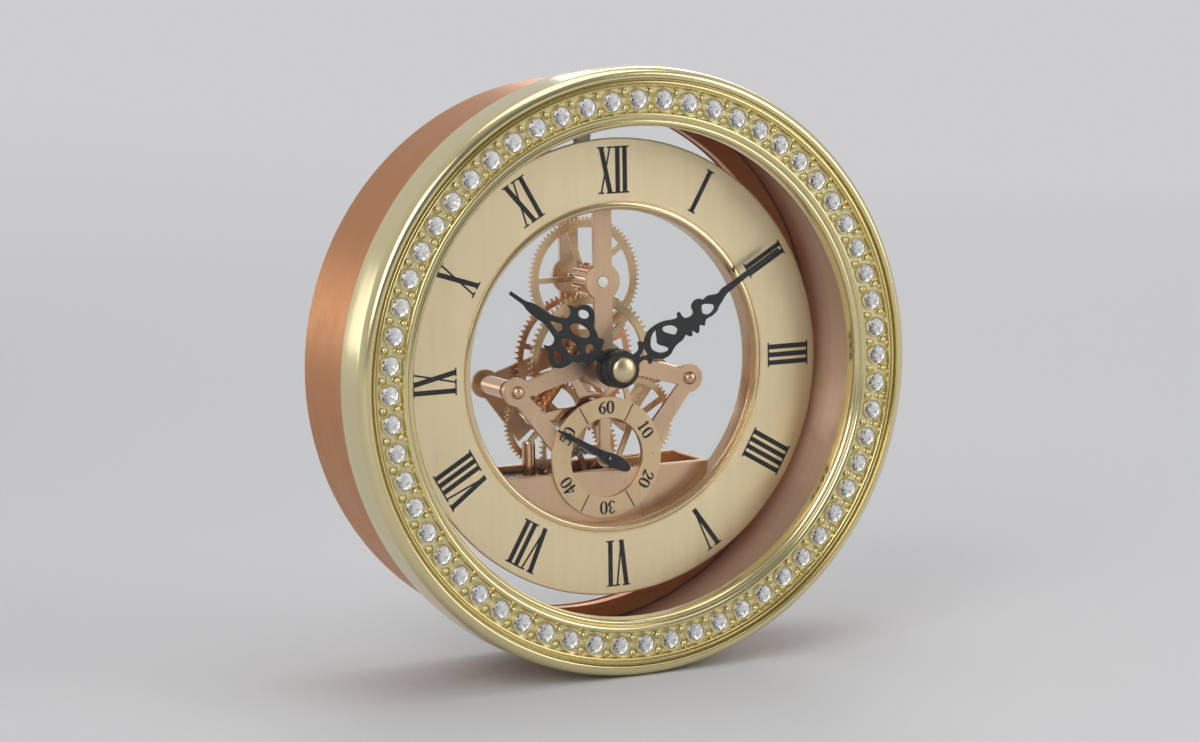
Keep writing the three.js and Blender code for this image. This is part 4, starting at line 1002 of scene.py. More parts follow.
# Figures of the seconds ring as pen paths: x, z and width, on a body 1 wide and 1.6 tall.
PEN = 1.3
BODY = 1.6
FIGURES = {
    "0": [[(0.5, 1.6, 0.1), (0.18, 1.35, 0.22), (0.1, 0.8, 0.27), (0.18, 0.25, 0.22), (0.5, 0, 0.1),
           (0.82, 0.25, 0.22), (0.9, 0.8, 0.27), (0.82, 1.35, 0.22), (0.5, 1.6, 0.1)]],
    "1": [[(0.2, 1.3, 0.08), (0.52, 1.6, 0.16), (0.52, 1.5, 0.24), (0.52, 0, 0.24)],
          [(0.2, 0.04, 0.1), (0.84, 0.04, 0.1)]],
    "2": [[(0.14, 1.2, 0.2), (0.3, 1.52, 0.14), (0.56, 1.58, 0.14), (0.82, 1.36, 0.24), (0.8, 1.0, 0.24),
           (0.46, 0.5, 0.14), (0.14, 0.1, 0.12)],
          [(0.12, 0.1, 0.2), (0.55, 0.1, 0.24), (0.9, 0.16, 0.1), (0.94, 0.34, 0.06)]],
    "3": [[(0.14, 1.36, 0.16), (0.36, 1.58, 0.12), (0.66, 1.52, 0.18), (0.78, 1.22, 0.24), (0.6, 0.94, 0.14),
           (0.42, 0.88, 0.08)],
          [(0.42, 0.88, 0.08), (0.7, 0.78, 0.16), (0.86, 0.46, 0.26), (0.68, 0.1, 0.18), (0.38, 0.02, 0.12),
           (0.12, 0.2, 0.18)]],
    "4": [[(0.64, 1.6, 0.16), (0.08, 0.52, 0.08)], [(0.06, 0.48, 0.13), (0.96, 0.48, 0.13)],
          [(0.68, 1.6, 0.24), (0.68, 0, 0.24)]],
    "5": [[(0.84, 1.54, 0.14), (0.28, 1.54, 0.16)], [(0.28, 1.54, 0.08), (0.2, 0.92, 0.1)],
          [(0.2, 0.92, 0.1), (0.52, 1.02, 0.14), (0.84, 0.78, 0.24), (0.82, 0.3, 0.25), (0.5, 0.02, 0.14),
           (0.14, 0.14, 0.18)]],
    "6": [[(0.84, 1.54, 0.1), (0.46, 1.36, 0.16), (0.18, 0.94, 0.24), (0.14, 0.46, 0.26), (0.5, 0.02, 0.12),
           (0.84, 0.3, 0.24), (0.82, 0.7, 0.22), (0.52, 0.94, 0.1), (0.24, 0.74, 0.1)]],
}
RING_TEXTS = {"60": 0, "10": 60, "20": 120, "30": 180, "40": 240, "50": 300}
PEN_STEPS = 4
FIGURE_FOOT, FIGURE_HEIGHT = 11.85, 3.3
TICKS = (30, 150, 210, 330)
TICK = box(-0.16, 0.16, 10.95, 16.05)


def pen_strokes(path):
    """Polygons that a pen of changing width draws along a path, smooth if the path is long."""
    if len(path) < 5:
        made = [bar(a[:2], a[2] * PEN, b[:2], b[2] * PEN) for a, b in zip(path, path[1:])]
        return made + [round_points(w * PEN / 2, 8, (x, z)) for x, z, w in path]
    closed = path[0] == path[-1]
    points = [Vector(p) for p in path]
    points = [points[-2] if closed else points[0], *points, points[1] if closed else points[-1]]
    line = [between(*points[i:i + 4], k / PEN_STEPS) for i in range(len(path) - 1) for k in range(PEN_STEPS)]
    line.append(points[-2])
    sides = []
    for i, here in enumerate(line):
        before = line[i - 1] if i else line[-2] if closed else here
        after = line[i + 1] if i + 1 < len(line) else line[1] if closed else here
        along = (after - before).xy.normalized()
        across = Vector((-along.y, along.x)) * here.z * PEN / 2
        sides.append((tuple(here.xy + across), tuple(here.xy - across)))
    made = []
    for i in range(0, len(line) - 1, PEN_STEPS):
        part = sides[i:i + PEN_STEPS + 1]
        made.append([a for a, _ in part] + [b for _, b in part][::-1])
    ends = [] if closed else [line[0], line[-1]]
    return made + [round_points(end.z * PEN / 2, 12, tuple(end.xy)) for end in ends]


def add_seconds_dial():
    front = SMALL_RING_FRONT
    plate = ring("seconds_ring_plate", SMALL_RING_BORE, SMALL_RING_R, front, PLATE_FRONT, 128, SECONDS, 0.14)
    dress(plate, SMALL_DIAL, "seconds_dial")
    scale = FIGURE_HEIGHT / BODY
    loops = []
    for text, degrees in RING_TEXTS.items():
        solids = [
            [((x - 1.08 + 1.16 * k) * scale, FIGURE_FOOT + z * scale) for x, z in poly]
            for k, figure in enumerate(text) for path in FIGURES[figure] for poly in pen_strokes(path)
        ]
        loops += turned_loops(united(solids), degrees, SECONDS)
    for degrees in TICKS:
        loops += turned_loops([TICK], degrees, SECONDS)
    dress(sheet("seconds_figures", loops, front - 0.05, front + 0.04, 0.015, 1), PRINT)
    dimple = [(0, front - 0.02), (0.3, front - 0.1), (0.42, front + 0.05), (0, front + 0.05)]
    dimple = lathe("dimple", dimple, 16, (0, 13.6), on_axis)
    pins = all_round("seconds_ring_pins", dimple, 2, ROSE_BRIGHT, 90, SECONDS)
    dress(pins, ROSE_BRIGHT)


# Plates and pillars.
def arm_outlines():
    """Arms shared by the front and rear plates."""
    solids = [
        bar(CENTRE, 5.4, TOP_PILLAR, 5.4), round_points(3.6, 48, TOP_PILLAR), round_points(5, 64, UPPER),
        round_points(6.2, 64),
    ]
    for side in (-1, 1):
        x, z = side * BOSS[0], BOSS[1]
        solids += [
            round_points(3.9, 56, (x, z)),
            bar((x - side * 0.4, z - 0.2), 4.2, (side * 4, 0.7), 5),
            bar((x - side, z - 1.8), 4.2, (side * (SIDE_X + 3.4), SIDE_Z - 4), 5),
        ]
    return solids


def add_plates():
    posts = BOSSES.values()
    cut = [
        *discs(HOUR_PIPE_R + 0.3, 32, CENTRE), *discs(1.6, 24, UPPER), *discs(0.7, 16, SECONDS),
        *discs(PIVOT_HOLE, 16, THIRD, INTER, ROTOR), *discs(1, 20, *posts), box(-60, 60, -80, BASE_TOP + 0.3),
    ]
    band = united(discs(15.9, 96, SECONDS), [*discs(10.9, 72, SECONDS), *cut])
    front = arm_outlines() + [bar((0, SECONDS[1] + 11.7), 3, SECONDS, 3), *discs(2.6, 32, SECONDS)]
    front = united(front + [outline for outline in band if area_of(outline) > 0], cut)
    rear = arm_outlines() + [
        bar(THIRD, 5, INTER, 5), *discs(3, 32, THIRD, INTER), bar((0, SIDE_Z), 5, SECONDS, 5),
        *discs(2.8, 32, SECONDS),
    ]
    rear = united(rear, [
        *discs(MINUTE_ARBOR_R + 0.3, 24, CENTRE), *discs(PIVOT_HOLE, 16, UPPER, SECONDS, THIRD, INTER),
        *discs(POST_HOLE, 20, *posts),
    ])
    for name, solid, outline, d0, d1 in (
        ("front_bridge", "front_plate", front, PLATE_FRONT, PLATE_BACK),
        ("rear_bridge", "rear_plate", rear, REAR_PLATE_FRONT, REAR_PLATE_BACK),
    ):
        dress(sheet(name, outline, d0, d1, 0.16, 3), ROSE, solid)
    seat = [
        (1.06, 21.86), (1.2, 21.8), (1.38, 21.84), (1.5, 21.95), (1.5, PLATE_BACK), (0.6, PLATE_BACK), (0.6, 22.3),
        (1.06, 22.3),
    ]
    jewel = [(0, 21.7), (0.5, 21.72), (0.86, 21.82), (1.05, 22), (1.05, 22.4), (0, 22.4)]
    bearing = joined("upper_bearing", lathe("jewel", jewel, 32, UPPER), (1, lathe("seat", seat, 40, UPPER)))
    dress(bearing, [JEWEL, ROSE_BRIGHT], "upper_jewel", crease=45)


def add_pillars():
    shaft = [
        (0, PLATE_BACK + 2.2), (1, PLATE_BACK + 2.2), (1, PLATE_BACK), (POST_R, PLATE_BACK),
        (POST_R, PLATE_BACK + 3), (2.25, PLATE_BACK + 3.4), (2.25, PLATE_BACK + 4.2), (POST_R, PLATE_BACK + 4.6),
        (POST_R, REAR_PLATE_FRONT - 2), (POST_R, REAR_PLATE_FRONT), (1.2, REAR_PLATE_FRONT),
        (1.2, REAR_PANE_BACK), (0, REAR_PANE_BACK),
    ]
    head = [
        (0, 20.62), (0.6, 20.68), (1.15, 20.9), (1.6, 21.3), (1.8, 21.75), (1.8, PLATE_FRONT), (0.8, PLATE_FRONT),
        (0.8, PLATE_BACK + 2), (0, PLATE_BACK + 2),
    ]
    for side, centre in BOSSES.items():
        post = lathe(f"post_{side}", rounded(shaft, 0.16), 40, centre)
        dress(post, ROSE_BRIGHT, f"pillar_{side}")
        # The screw heads carry a painted reflection of the plate: a rose tint in their colour.
        dress(lathe(f"dome_screw_{side}", head, 36, centre), SCREW, f"screw_{side}", crease=45)
        collar = ring(f"collar_{side}", POST_HOLE, POST_R, REAR_PLATE_BACK, REAR_PANE_FRONT, 32, centre)
        dress(collar, ROSE_BRIGHT, f"spacer_{side}")


# Base tray, cell and driver board.
def add_base():
    side_z = -sqrt(BASE_R ** 2 - BASE_HALF ** 2)
    foot_x = sqrt(BASE_R ** 2 - BASE_BOTTOM ** 2)
    curve = [(BASE_R * cos(a), BASE_R * sin(a)) for a in (pi + pi * i / 72 for i in range(73))]
    outline = [
        (-BASE_HALF, BASE_TOP), (-BASE_HALF, side_z), *[p for p in curve if -BASE_HALF < p[0] < -foot_x],
        (-foot_x, BASE_BOTTOM), (foot_x, BASE_BOTTOM), *[p for p in curve if foot_x < p[0] < BASE_HALF],
        (BASE_HALF, side_z), (BASE_HALF, BASE_TOP),
    ]
    dress(sheet("tray_front", [outline], PLATE_FRONT, PLATE_BACK, 0.3, 3), ROSE, "base_front")

    # Walls of the tray: shelves, rims, the well under the wheels, then the bay of the cell.
    near, far = PLATE_BACK, TRAY_BACK
    front, back = near + BASE_WALL, far - BASE_WALL
    rim, well, shelf = BASE_HALF - BASE_WALL, WELL_HALF + BASE_WALL, SHELF - BASE_WALL
    bay0, bay1 = BAY_X - BAY_HALF, BAY_X + BAY_HALF
    end0, end1 = bay0 - BASE_WALL, bay1 + BASE_WALL
    soft = 0.45

    def pair(x0, x1, *rest):
        return (-x1, -x0, *rest), (x0, x1, *rest)

    walls = [
        *pair(WELL_HALF, BASE_HALF, near, far, shelf, SHELF),
        *pair(rim, BASE_HALF, near, far, shelf, BASE_TOP, soft),
        (-BASE_HALF, BASE_HALF, near, front, shelf, BASE_TOP, soft),
        (-BASE_HALF, BASE_HALF, back, far, shelf, BASE_TOP, soft),
        *pair(WELL_HALF, well, near, far, BAY_TOP, SHELF),
        (-well, well, near, front, BAY_TOP, SHELF),
        (-well, well, back, far, BAY_TOP, SHELF),
        (end0, end1, near, REAR_PANE_FRONT, BAY_TOP, WELL_FLOOR),
        (end0, end1, near, REAR_PANE_FRONT, BASE_BOTTOM, BAY_BOTTOM),
        (bay0, bay1, near, front, BASE_BOTTOM, WELL_FLOOR),
        (end0, bay0, near, REAR_PANE_FRONT, BASE_BOTTOM, WELL_FLOOR),
        (bay1, end1, near, REAR_PANE_FRONT, BASE_BOTTOM, WELL_FLOOR),
    ]
    tray = joined("tray_body", *[block("wall", *sides) for sides in walls])
    dress(tray, ROSE_BRIGHT, "base_box")


def lying_at(middle, height):
    """Place for parts drawn about Y that lie along X in the cell bay, at this depth and height."""
    return lambda x, depth, z: Vector((depth, x, z)) * MM + spot(BAY_X, middle, height)


def add_cell():
    half = CELL_LENGTH / 2
    lying = lying_at(CELL_DEPTH, CELL_Z)
    can = [
        (0, -half), (4.3, -half), (4.5, -half + 0.2), (4.9, -half + 0.2), (CELL_R, -half + 0.6),
        (CELL_R, half - 1.9), (4.9, half - 1.45), (4.7, half - 1.45), (4.7, half - 1), (2.2, half - 1),
        (1.9, half - 0.8), (1.9, half - 0.1), (1.8, half), (0, half),
    ]
    dress(lathe("cell", can, 64, CENTRE, lying), CELL_SLEEVE, "battery", crease=30)
    tab = block("tab", BAY_X + half + 1.9, BAY_X + BAY_HALF - 0.1, CELL_DEPTH - 3, CELL_DEPTH + 3,
                BAY_BOTTOM, CELL_Z + 4, 0.15)
    button = [(0, half + 0.1), (1.6, half + 0.5), (2.3, half + 1.9), (0, half + 1.9)]
    tab = joined("plus_tab", tab, lathe("button", button, 32, CENTRE, lying))
    dress(tab, STEEL, "contact_plus")
    coil = wound("minus_coil", 4.5, 3.8, 1.8, 2.5, 0.28, 10, 36, STEEL)
    place = Matrix.Translation(spot(BAY_X - BAY_HALF + 0.35, CELL_DEPTH, CELL_Z))
    coil.transform(place @ Matrix.Rotation(pi / 2, 4, "Y"))
    plate = lathe("spring_plate", box(0, 4.2, -BAY_HALF + 0.02, -BAY_HALF + 0.22), 32, CENTRE, lying)
    dress(joined("minus_spring", coil, plate), STEEL, "contact_spring", crease=50)


def add_board():
    """Driver board on the left shelf, with its chip, a row of pads and the can of the resonator."""
    middle = (PLATE_BACK + TRAY_BACK) / 2
    left, right = -BASE_HALF + BASE_WALL + 0.3, -WELL_HALF - 0.3
    top = SHELF + 0.8
    slab = block("slab", left, right, middle - 6, middle + 6, SHELF, top, 0.08)

    def standing(across, behind=0):
        """Place for a part that stands on the board, drawn about its own axis."""
        return lambda x, depth, z: spot(across + x, middle + behind + z, top + depth)

    blob = [(2.6, -0.02), *arc(0, 0, 2.6, -1.1, (0, 20, 40, 60, 80))]
    chip = lathe("chip", [(0, -0.02), *blob, (0, 1.12)], 32, CENTRE, standing(left + 5))
    pad = [(0, -0.02), (0.5, -0.02), (0.4, 0.3), (0, 0.42)]
    pads = in_row("pads", lathe("pad", pad, 12, CENTRE, standing(left + 1.5, 4.6)), 6, (2.4, 0, 0), STEEL)
    board = joined("driver_board", slab, (1, chip), (2, pads))
    dress(board, [BOARD, BLACK, STEEL], "circuit_board")
    can = [(0, 0), (1.95, 0), (1.95, 0.3), (1.8, 0.45), (1.8, 9.1), (1.6, 9.5), (1.3, 9.6), (0, 9.6)]
    can = lathe("resonator_can", can, 32, CENTRE, standing(right - 4.2))
    dress(can, ROSE_BRIGHT, "quartz_can")


# Rear of the case.
def add_rear():
    half = CELL_LENGTH / 2 + 2
    top, bottom = BAY_TOP - 0.3, BAY_BOTTOM + 0.3
    eye = (0, HANGER_Z - 2)
    nail = (0, SCREW_Z)
    holes = [
        *discs(POST_HOLE, 24, *BOSSES.values()), *discs(5, 48, CENTRE), *discs(KEYHOLE_R + 0.4, 40, eye, nail),
        box(-KEYHOLE_R, KEYHOLE_R, eye[1], SCREW_Z), box(BAY_X - half, BAY_X + half, bottom, top),
    ]
    outlines = united(discs(PANE_R - SKIN, 192, CENTRE), holes)
    pane = sheet("rear_window", outlines, REAR_PANE_FRONT + SKIN, REAR_PANE_BACK - SKIN, 0.15)
    dress(pane, PANE_GLASS, "rear_pane")

    hinge_z = bottom + 1
    hinge_depth = (REAR_PANE_FRONT + REAR_PANE_BACK) / 2
    leaf = block("leaf", BAY_X - half + 0.4, BAY_X + half - 0.4, hinge_depth - 0.6, hinge_depth + 0.6,
                 hinge_z - 0.6, top - 0.4, 0.25)
    pin = ring("pin", 0, 0.4, -half - 1.2, half + 1.2, 20, CENTRE, 0.1, lying_at(hinge_depth, hinge_z))
    rib = block("rib", BAY_X - 6, BAY_X + 6, hinge_depth + 0.5, hinge_depth + 0.9, top - 4.6, top - 4.1, 0.12)
    door = joined("cell_door", leaf, pin, in_row("ribs", rib, 4, (0, 0, 0.9), DOOR))
    dress(door, DOOR, "battery_door", "door")

    width = 1.9
    throat = [*discs(KEYHOLE_R, 48, eye), box(-width, width, eye[1], SCREW_Z), *discs(width, 32, nail)]
    plate = united([ellipse(0, HANGER_Z, 9, 8, count=96)], throat)
    dress(sheet("keyhole_plate", plate, REAR_PANE_BACK, REAR, 0.1), STEEL, "hanger_plate")


# Hands, drawn pointing up.
HOUR_HALF = [
    (1.7, 4.6), (1.6, 6.9), (3.6, 7.2), (4.2, 8.2), (3.8, 9.3), (4.7, 10.6), (5.5, 12.2), (6.8, 12.8),
    (8.6, 14.2), (9.4, 16.2), (8.6, 18.2), (7, 19.6), (6.5, 21.3), (6.1, 22.1), (5.6, 20.6), (4.6, 19.9),
    (3.2, 20.2), (2.6, 21.4), (1.7, 24.2), (1.5, 26), (1.5, 29), (1.1, 31.6), (0.65, 33), (0.5, 38),
]
MINUTE_OUTLINE = [
    (1.6, 4.6), (1.3, 5.8), (2, 7.1), (3.3, 7.1), (3.5, 7.9), (2.8, 8.6), (3.5, 9.8), (4.7, 11.8), (4.8, 13.8),
    (4, 15.5), (3.7, 17), (3.7, 18.7), (3, 20.2), (4.3, 21.1), (4.3, 21.9), (3.2, 22.4), (4.8, 23.2), (4.7, 24),
    (3.3, 25), (4.4, 26.2), (3.2, 27.4), (3.4, 29.5), (3.2, 31.3), (2.4, 32.6), (1.9, 34), (1.1, 36), (0.9, 39),
    (0.45, 55.6), (-0.45, 55.6), (-0.9, 39), (-1.1, 36), (-0.7, 34.2), (-1.1, 33), (-1.9, 31.3), (-1.9, 29.4),
    (-2.7, 28.8), (-3.2, 27.2), (-2.4, 25.6), (-0.7, 25.2), (-0.3, 23.8), (-1.2, 22.2), (-3.2, 22), (-3.4, 21.2),
    (-2.3, 20.6), (-2.7, 19.2), (-3.8, 17), (-4.5, 14), (-4.2, 11), (-2.6, 8.8), (-3.4, 8.3), (-3.7, 7.4),
    (-1.9, 6.6), (-1.6, 4.6),
]
MINUTE_HOLES = [
    [(-1.2, 8.1), (0, 5.9), (0.9, 8.1)],
    [(-3.4, 13.6), (-2.5, 11.5), (0, 9.9), (2.4, 11.2), (3.4, 13.2), (2.9, 14), (0.3, 12.1), (-1.2, 12.6)],
    [(-2.6, 15.8), (-1.6, 15.3), (0.8, 17.2), (1.1, 18), (0.2, 19), (-1.6, 18)],
    [(-0.8, 28.8), (-0.2, 27.9), (1.2, 27.5), (2.4, 28.8), (2.2, 30.6), (1, 31.2)],
]
SECONDS_HALF = [(1.75, -0.8), (1.1, 2.4), (0.65, 12.4), (1, 13.6), (0.5, 14.8), (0.28, 17.4)]
SECONDS_TAIL = [(-1.75, -3.4), (-1.3, -5.6), (-0.6, -6.8)]


def mirrored(points):
    return [(-x, z) for x, z in points][::-1]


def hand_sheet(outline, holes, hub, bore, depth, degrees, centre=CENTRE):
    """Openwork hand drawn pointing up, then turned clockwise to where it points."""
    loops = united([outline, *discs(hub, 48, CENTRE)], [*holes, *discs(bore, 32, CENTRE)])
    return sheet("blade", turned_loops(loops, degrees, centre), depth, depth + HAND_SHEET, 0.13, 3)


def add_hands():
    holes = [flowing(hole, 6, 110) for hole in MINUTE_HOLES]
    blade = hand_sheet(flowing(MINUTE_OUTLINE), holes, 4.8, MINUTE_BORE, MINUTE_HAND, MINUTE_ANGLE)
    collet = ring("collet", MINUTE_BORE, 5, MINUTE_HAND + HAND_SHEET, 14, edge=0.2)
    step = lathe("step", rounded([(3.2, 10.9), (4.3, 10.9), (4.5, 11.1), (3.2, 11.1)], 0.08), 64)
    dress(joined("long_hand", blade, collet, step), BLACK, "minute_hand", "minute")

    eyes = [round_points(1.3, 32, (0, 9.9)), [(0, 24), (-1.2, 20.5), (0, 19.4), (1.2, 20.5)]]
    for side in (-1, 1):
        eyes += [ellipse(side * 2.5, 15, 1.5, 3.2, side * 7), ellipse(side * 6.6, 16.6, 1.1, 1.7, side * 14)]
    blade = hand_sheet(flowing(HOUR_HALF + mirrored(HOUR_HALF)), eyes, 5.2, HOUR_BORE, HOUR_HAND, HOUR_ANGLE)
    collet = ring("collet", HOUR_BORE, 5.2, HOUR_HAND + HAND_SHEET, 17.2, edge=0.2)
    dress(joined("short_hand", blade, collet), BLACK, "hour_hand", "hour")

    outline = flowing([*SECONDS_HALF, *mirrored(SECONDS_HALF), *SECONDS_TAIL, *mirrored(SECONDS_TAIL)])
    blade = hand_sheet(outline, [], 1.5, 0.55, SECONDS_HAND, SECONDS_ANGLE, SECONDS)
    cap = lathe("cap", [(0.46, 19.6), (1.1, 19.6), (1.1, 19.5), (0.9, 19.42), (0.46, 19.4)], 24, SECONDS)
    dress(joined("small_hand", blade, cap), BLACK, "seconds_hand", "seconds")

    dome = arc(0, MINUTE_HAND - 0.35, 3.5, 1.5, range(0, 90, 9))
    cap = [
        (MINUTE_BORE, MINUTE_HAND), (3.4, MINUTE_HAND), *dome, (0, MINUTE_HAND - 1.86), (0, ROD_FRONT - 0.05),
        (MINUTE_BORE, ROD_FRONT - 0.05),
    ]
    dress(lathe("brass_cap", cap, 64), CAP, "cap_nut", "minute", 50)


# Wheels, arbors and motor.
def toothed(teeth, module, phase, depth, thick, centre, look,
            leaves=0, spokes=0, hub=3, rim=1.5, lean=0, chamfer=0.04):
    """Wheel or pinion grown by the tree, from its front plane backwards."""
    return grown("teeth", TOOTHED_WHEEL, {
        "Teeth": teeth, "Module": module * MM, "Leaves": float(leaves), "Phase": float(phase),
        "Thickness": thick * MM, "Spokes": spokes, "Spoke Half": 0.75 * MM, "Hub Radius": hub * MM,
        "Rim Radius": ((teeth / 2 - 0.95) * module - rim) * MM, "Lean": radians(lean),
        "Back": tuple(spot(centre[0], depth + thick, centre[1])), "Finish": look,
    }, chamfer)


def mesh_phase(first, second, first_teeth, second_teeth):
    """Phase that puts a gap of the second gear opposite a tooth of the first."""
    line = atan2(second[1] - first[1], second[0] - first[0])
    along = line * first_teeth / tau
    return line + pi - (0.5 - along) * tau / second_teeth


def arbor(d0, d1, centre):
    """Steel arbor with a slimmer pivot at each end."""
    loop = [
        (0, d0), (PIVOT_R, d0), (PIVOT_R, d0 + 1.4), (ARBOR_R, d0 + 1.6),
        (ARBOR_R, d1 - 1.6), (PIVOT_R, d1 - 1.4), (PIVOT_R, d1), (0, d1),
    ]
    return lathe("arbor", rounded(loop, 0.06, 2), 20, centre)


def add_wheel(name, solid, body, look, centre, depth, teeth, module, phase, collar=None, bead=None, **shape):
    """Spoked wheel, with a collar on its hub and a thin turned step on its rim."""
    parts = [toothed(teeth, module, phase, depth, WHEEL, centre, look, spokes=5, **shape)]
    if collar:
        bore, r, front, back = collar
        parts.append(ring("hub", bore, r, depth + front, depth + back, 40, centre))
    if bead:
        parts.append(ring("rim_bead", bead - 0.35, bead + 0.35, depth - 0.06, depth + 0.1, 96, centre, 0.05))
    dress(joined(name, *parts), look, solid, body)


def add_staff(name, solid, body, centre, ends, depth, thick, teeth, module, phase=0):
    """Steel arbor with its leaves."""
    leaves = toothed(teeth, module, phase, depth, thick, centre, STEEL, leaves=1, chamfer=0.03)
    dress(joined(name, arbor(*ends, centre), leaves), STEEL, solid, body)


def add_motion_work():
    add_wheel("upper_wheel", "motion_wheel", "motion", WHEEL_UPPER, UPPER, MOTION_WHEEL, 80, MOTION_MODULE,
              mesh_phase(CENTRE, UPPER, 30, 80), (0.55, 2.1, -0.09, 0), 14.4, rim=2.1, lean=36)
    length = MOTION_WHEEL - 0.1 - PLATE_BACK - 1
    drum = toothed(16, DRUM_MODULE, 0, PLATE_BACK + 1, length, UPPER, ROSE_BRIGHT, leaves=1)
    nut = ring("nut", 0.45, 1.4, 33.9, 35.8, 6, UPPER, 0.2)
    drum = joined("upper_arbor", drum, arbor(ARBOR_FRONT, ARBOR_BACK, UPPER), nut)
    dress(drum, ROSE_BRIGHT, "motion_arbor", "motion")
    add_wheel("hour_gear", "hour_wheel", "hour", WHEEL_MIDDLE, CENTRE, HOUR_WHEEL, 72, DRUM_MODULE,
              mesh_phase(UPPER, CENTRE, 16, 72), bead=16.1, hub=4.4, rim=2.1, lean=46)
    pipe = [
        (PIPE_BORE, PIPE_FRONT), (HOUR_PIPE_R, PIPE_FRONT), (HOUR_PIPE_R, 30.6), (4.2, 30.6), (4.2, PIPE_BACK),
        (PIPE_BORE, PIPE_BACK),
    ]
    dress(lathe("hour_tube", rounded(pipe, 0.14), 48), WHEEL_MIDDLE, "hour_pipe", "hour")
    cannon = toothed(30, MOTION_MODULE, 0, MOTION_WHEEL - 0.2, WHEEL + 0.4, CENTRE, WHEEL_MIDDLE)
    boss = [
        (MINUTE_BORE, 33.5), (3.4, 33.5), (3.4, 35.6), (2.9, 35.6), (2.9, 34.9), (MINUTE_BORE, 34.9),
    ]
    cannon = joined("cannon_gear", cannon, lathe("boss", rounded(boss, 0.15), 48))
    dress(cannon, WHEEL_MIDDLE, "cannon_pinion", "minute")
    rod = ring("centre_rod", 0, MINUTE_ARBOR_R, ROD_FRONT, ROD_BACK, 32, edge=0.2)
    dress(rod, STEEL, "minute_arbor", "minute")
    knob = [
        (0, ROD_BACK), (MINUTE_BORE, ROD_BACK), (MINUTE_BORE, 44.4), (3.9, 44.4), (3.9, 46.1), (3.6, 46.4),
        (3, 46.5), (2.6, 46.35), (0, 46.3),
    ]
    rib = ring("rib", 0, 0.24, 44.4, 46.1, 8, (0, 3.92), 0.05, on_axis)
    knob = joined("hand_setting_knob", lathe("knob", rounded(knob, 0.1), 48), all_round("grips", rib, 24, BLACK))
    dress(knob, KNOB, "setting_knob", "minute")


def add_train():
    add_staff("seconds_staff", "seconds_arbor", "seconds", SECONDS, (19.4, ARBOR_BACK), THIRD_WHEEL - 0.2,
              WHEEL + 0.4, 8, FINE_MODULE)
    add_wheel("seconds_gear", "seconds_wheel", "seconds", WHEEL_SECONDS, SECONDS, SECONDS_WHEEL, 50, SECONDS_MODULE,
              0, (0.5, 1.4, WHEEL, WHEEL + 0.5), hub=2, rim=1.2)
    add_wheel("third_gear", "third_wheel", "third", WHEEL_THIRD, THIRD, THIRD_WHEEL, 60, FINE_MODULE,
              mesh_phase(SECONDS, THIRD, 8, 60), (0.5, 1.5, -0.5, 0), hub=2.2, lean=10)
    add_staff("third_staff", "third_arbor", "third", THIRD, (ARBOR_FRONT, ARBOR_BACK), CENTRE_WHEEL - 0.3,
              WHEEL + 0.6, 9, THIRD_MODULE)
    add_wheel("centre_gear", "centre_wheel", "centre", WHEEL_CENTRE, CENTRE, CENTRE_WHEEL, 72, THIRD_MODULE,
              mesh_phase(THIRD, CENTRE, 9, 72), (1.3, 2.4, WHEEL, WHEEL + 0.6), 15.6, hub=3.2, lean=20)
    add_staff("side_staff", "intermediate_arbor", "intermediate", INTER, (ARBOR_FRONT, ARBOR_BACK),
              SECONDS_WHEEL - 0.2, WHEEL + 0.4, 10, SECONDS_MODULE, mesh_phase(SECONDS, INTER, 50, 10))
    add_wheel("side_gear", "intermediate_wheel", "intermediate", WHEEL_SIDE, INTER, INTER_WHEEL, 60, FINE_MODULE,
              0, (0.5, 1.5, WHEEL, WHEEL + 0.6), hub=2.2, lean=30)


# Motor behind the small ring: the rotor, the stator's legs and the posts that carry its coil.
MAGNET_R = 2.6
MAGNET_FRONT, MAGNET_BACK = PLATE_BACK + 0.8, PLATE_BACK + 2.9
COIL_POST_R = 1.7
COIL_POSTS = [(-9.5, -0.6), (-20.2, -13.2)]
STACK_FRONT = PLATE_BACK + 1.4
STACK_BACK = STACK_FRONT + 0.8
CORE_BACK = STACK_BACK + 1.2
COIL_LENGTH, CHEEK_R, CHEEK = 8.4, 2.3, 0.5
COCK_BACK = COCK_FRONT + COCK
COCK_PINS = [(-8, -15.3), (-3.3, -4.3)]


def add_rotor():
    add_staff("rotor_staff", "rotor_arbor", "rotor", ROTOR, (ARBOR_FRONT, COCK_BACK - 0.1), MAGNET_BACK + 0.3,
              INTER_WHEEL + WHEEL - MAGNET_BACK, 10, FINE_MODULE, mesh_phase(INTER, ROTOR, 60, 10))
    magnet = ring("rotor_disc", 0.55, MAGNET_R, MAGNET_FRONT, MAGNET_BACK, 48, ROTOR, 0.2)
    dress(magnet, MAGNET, "rotor_magnet", "rotor")


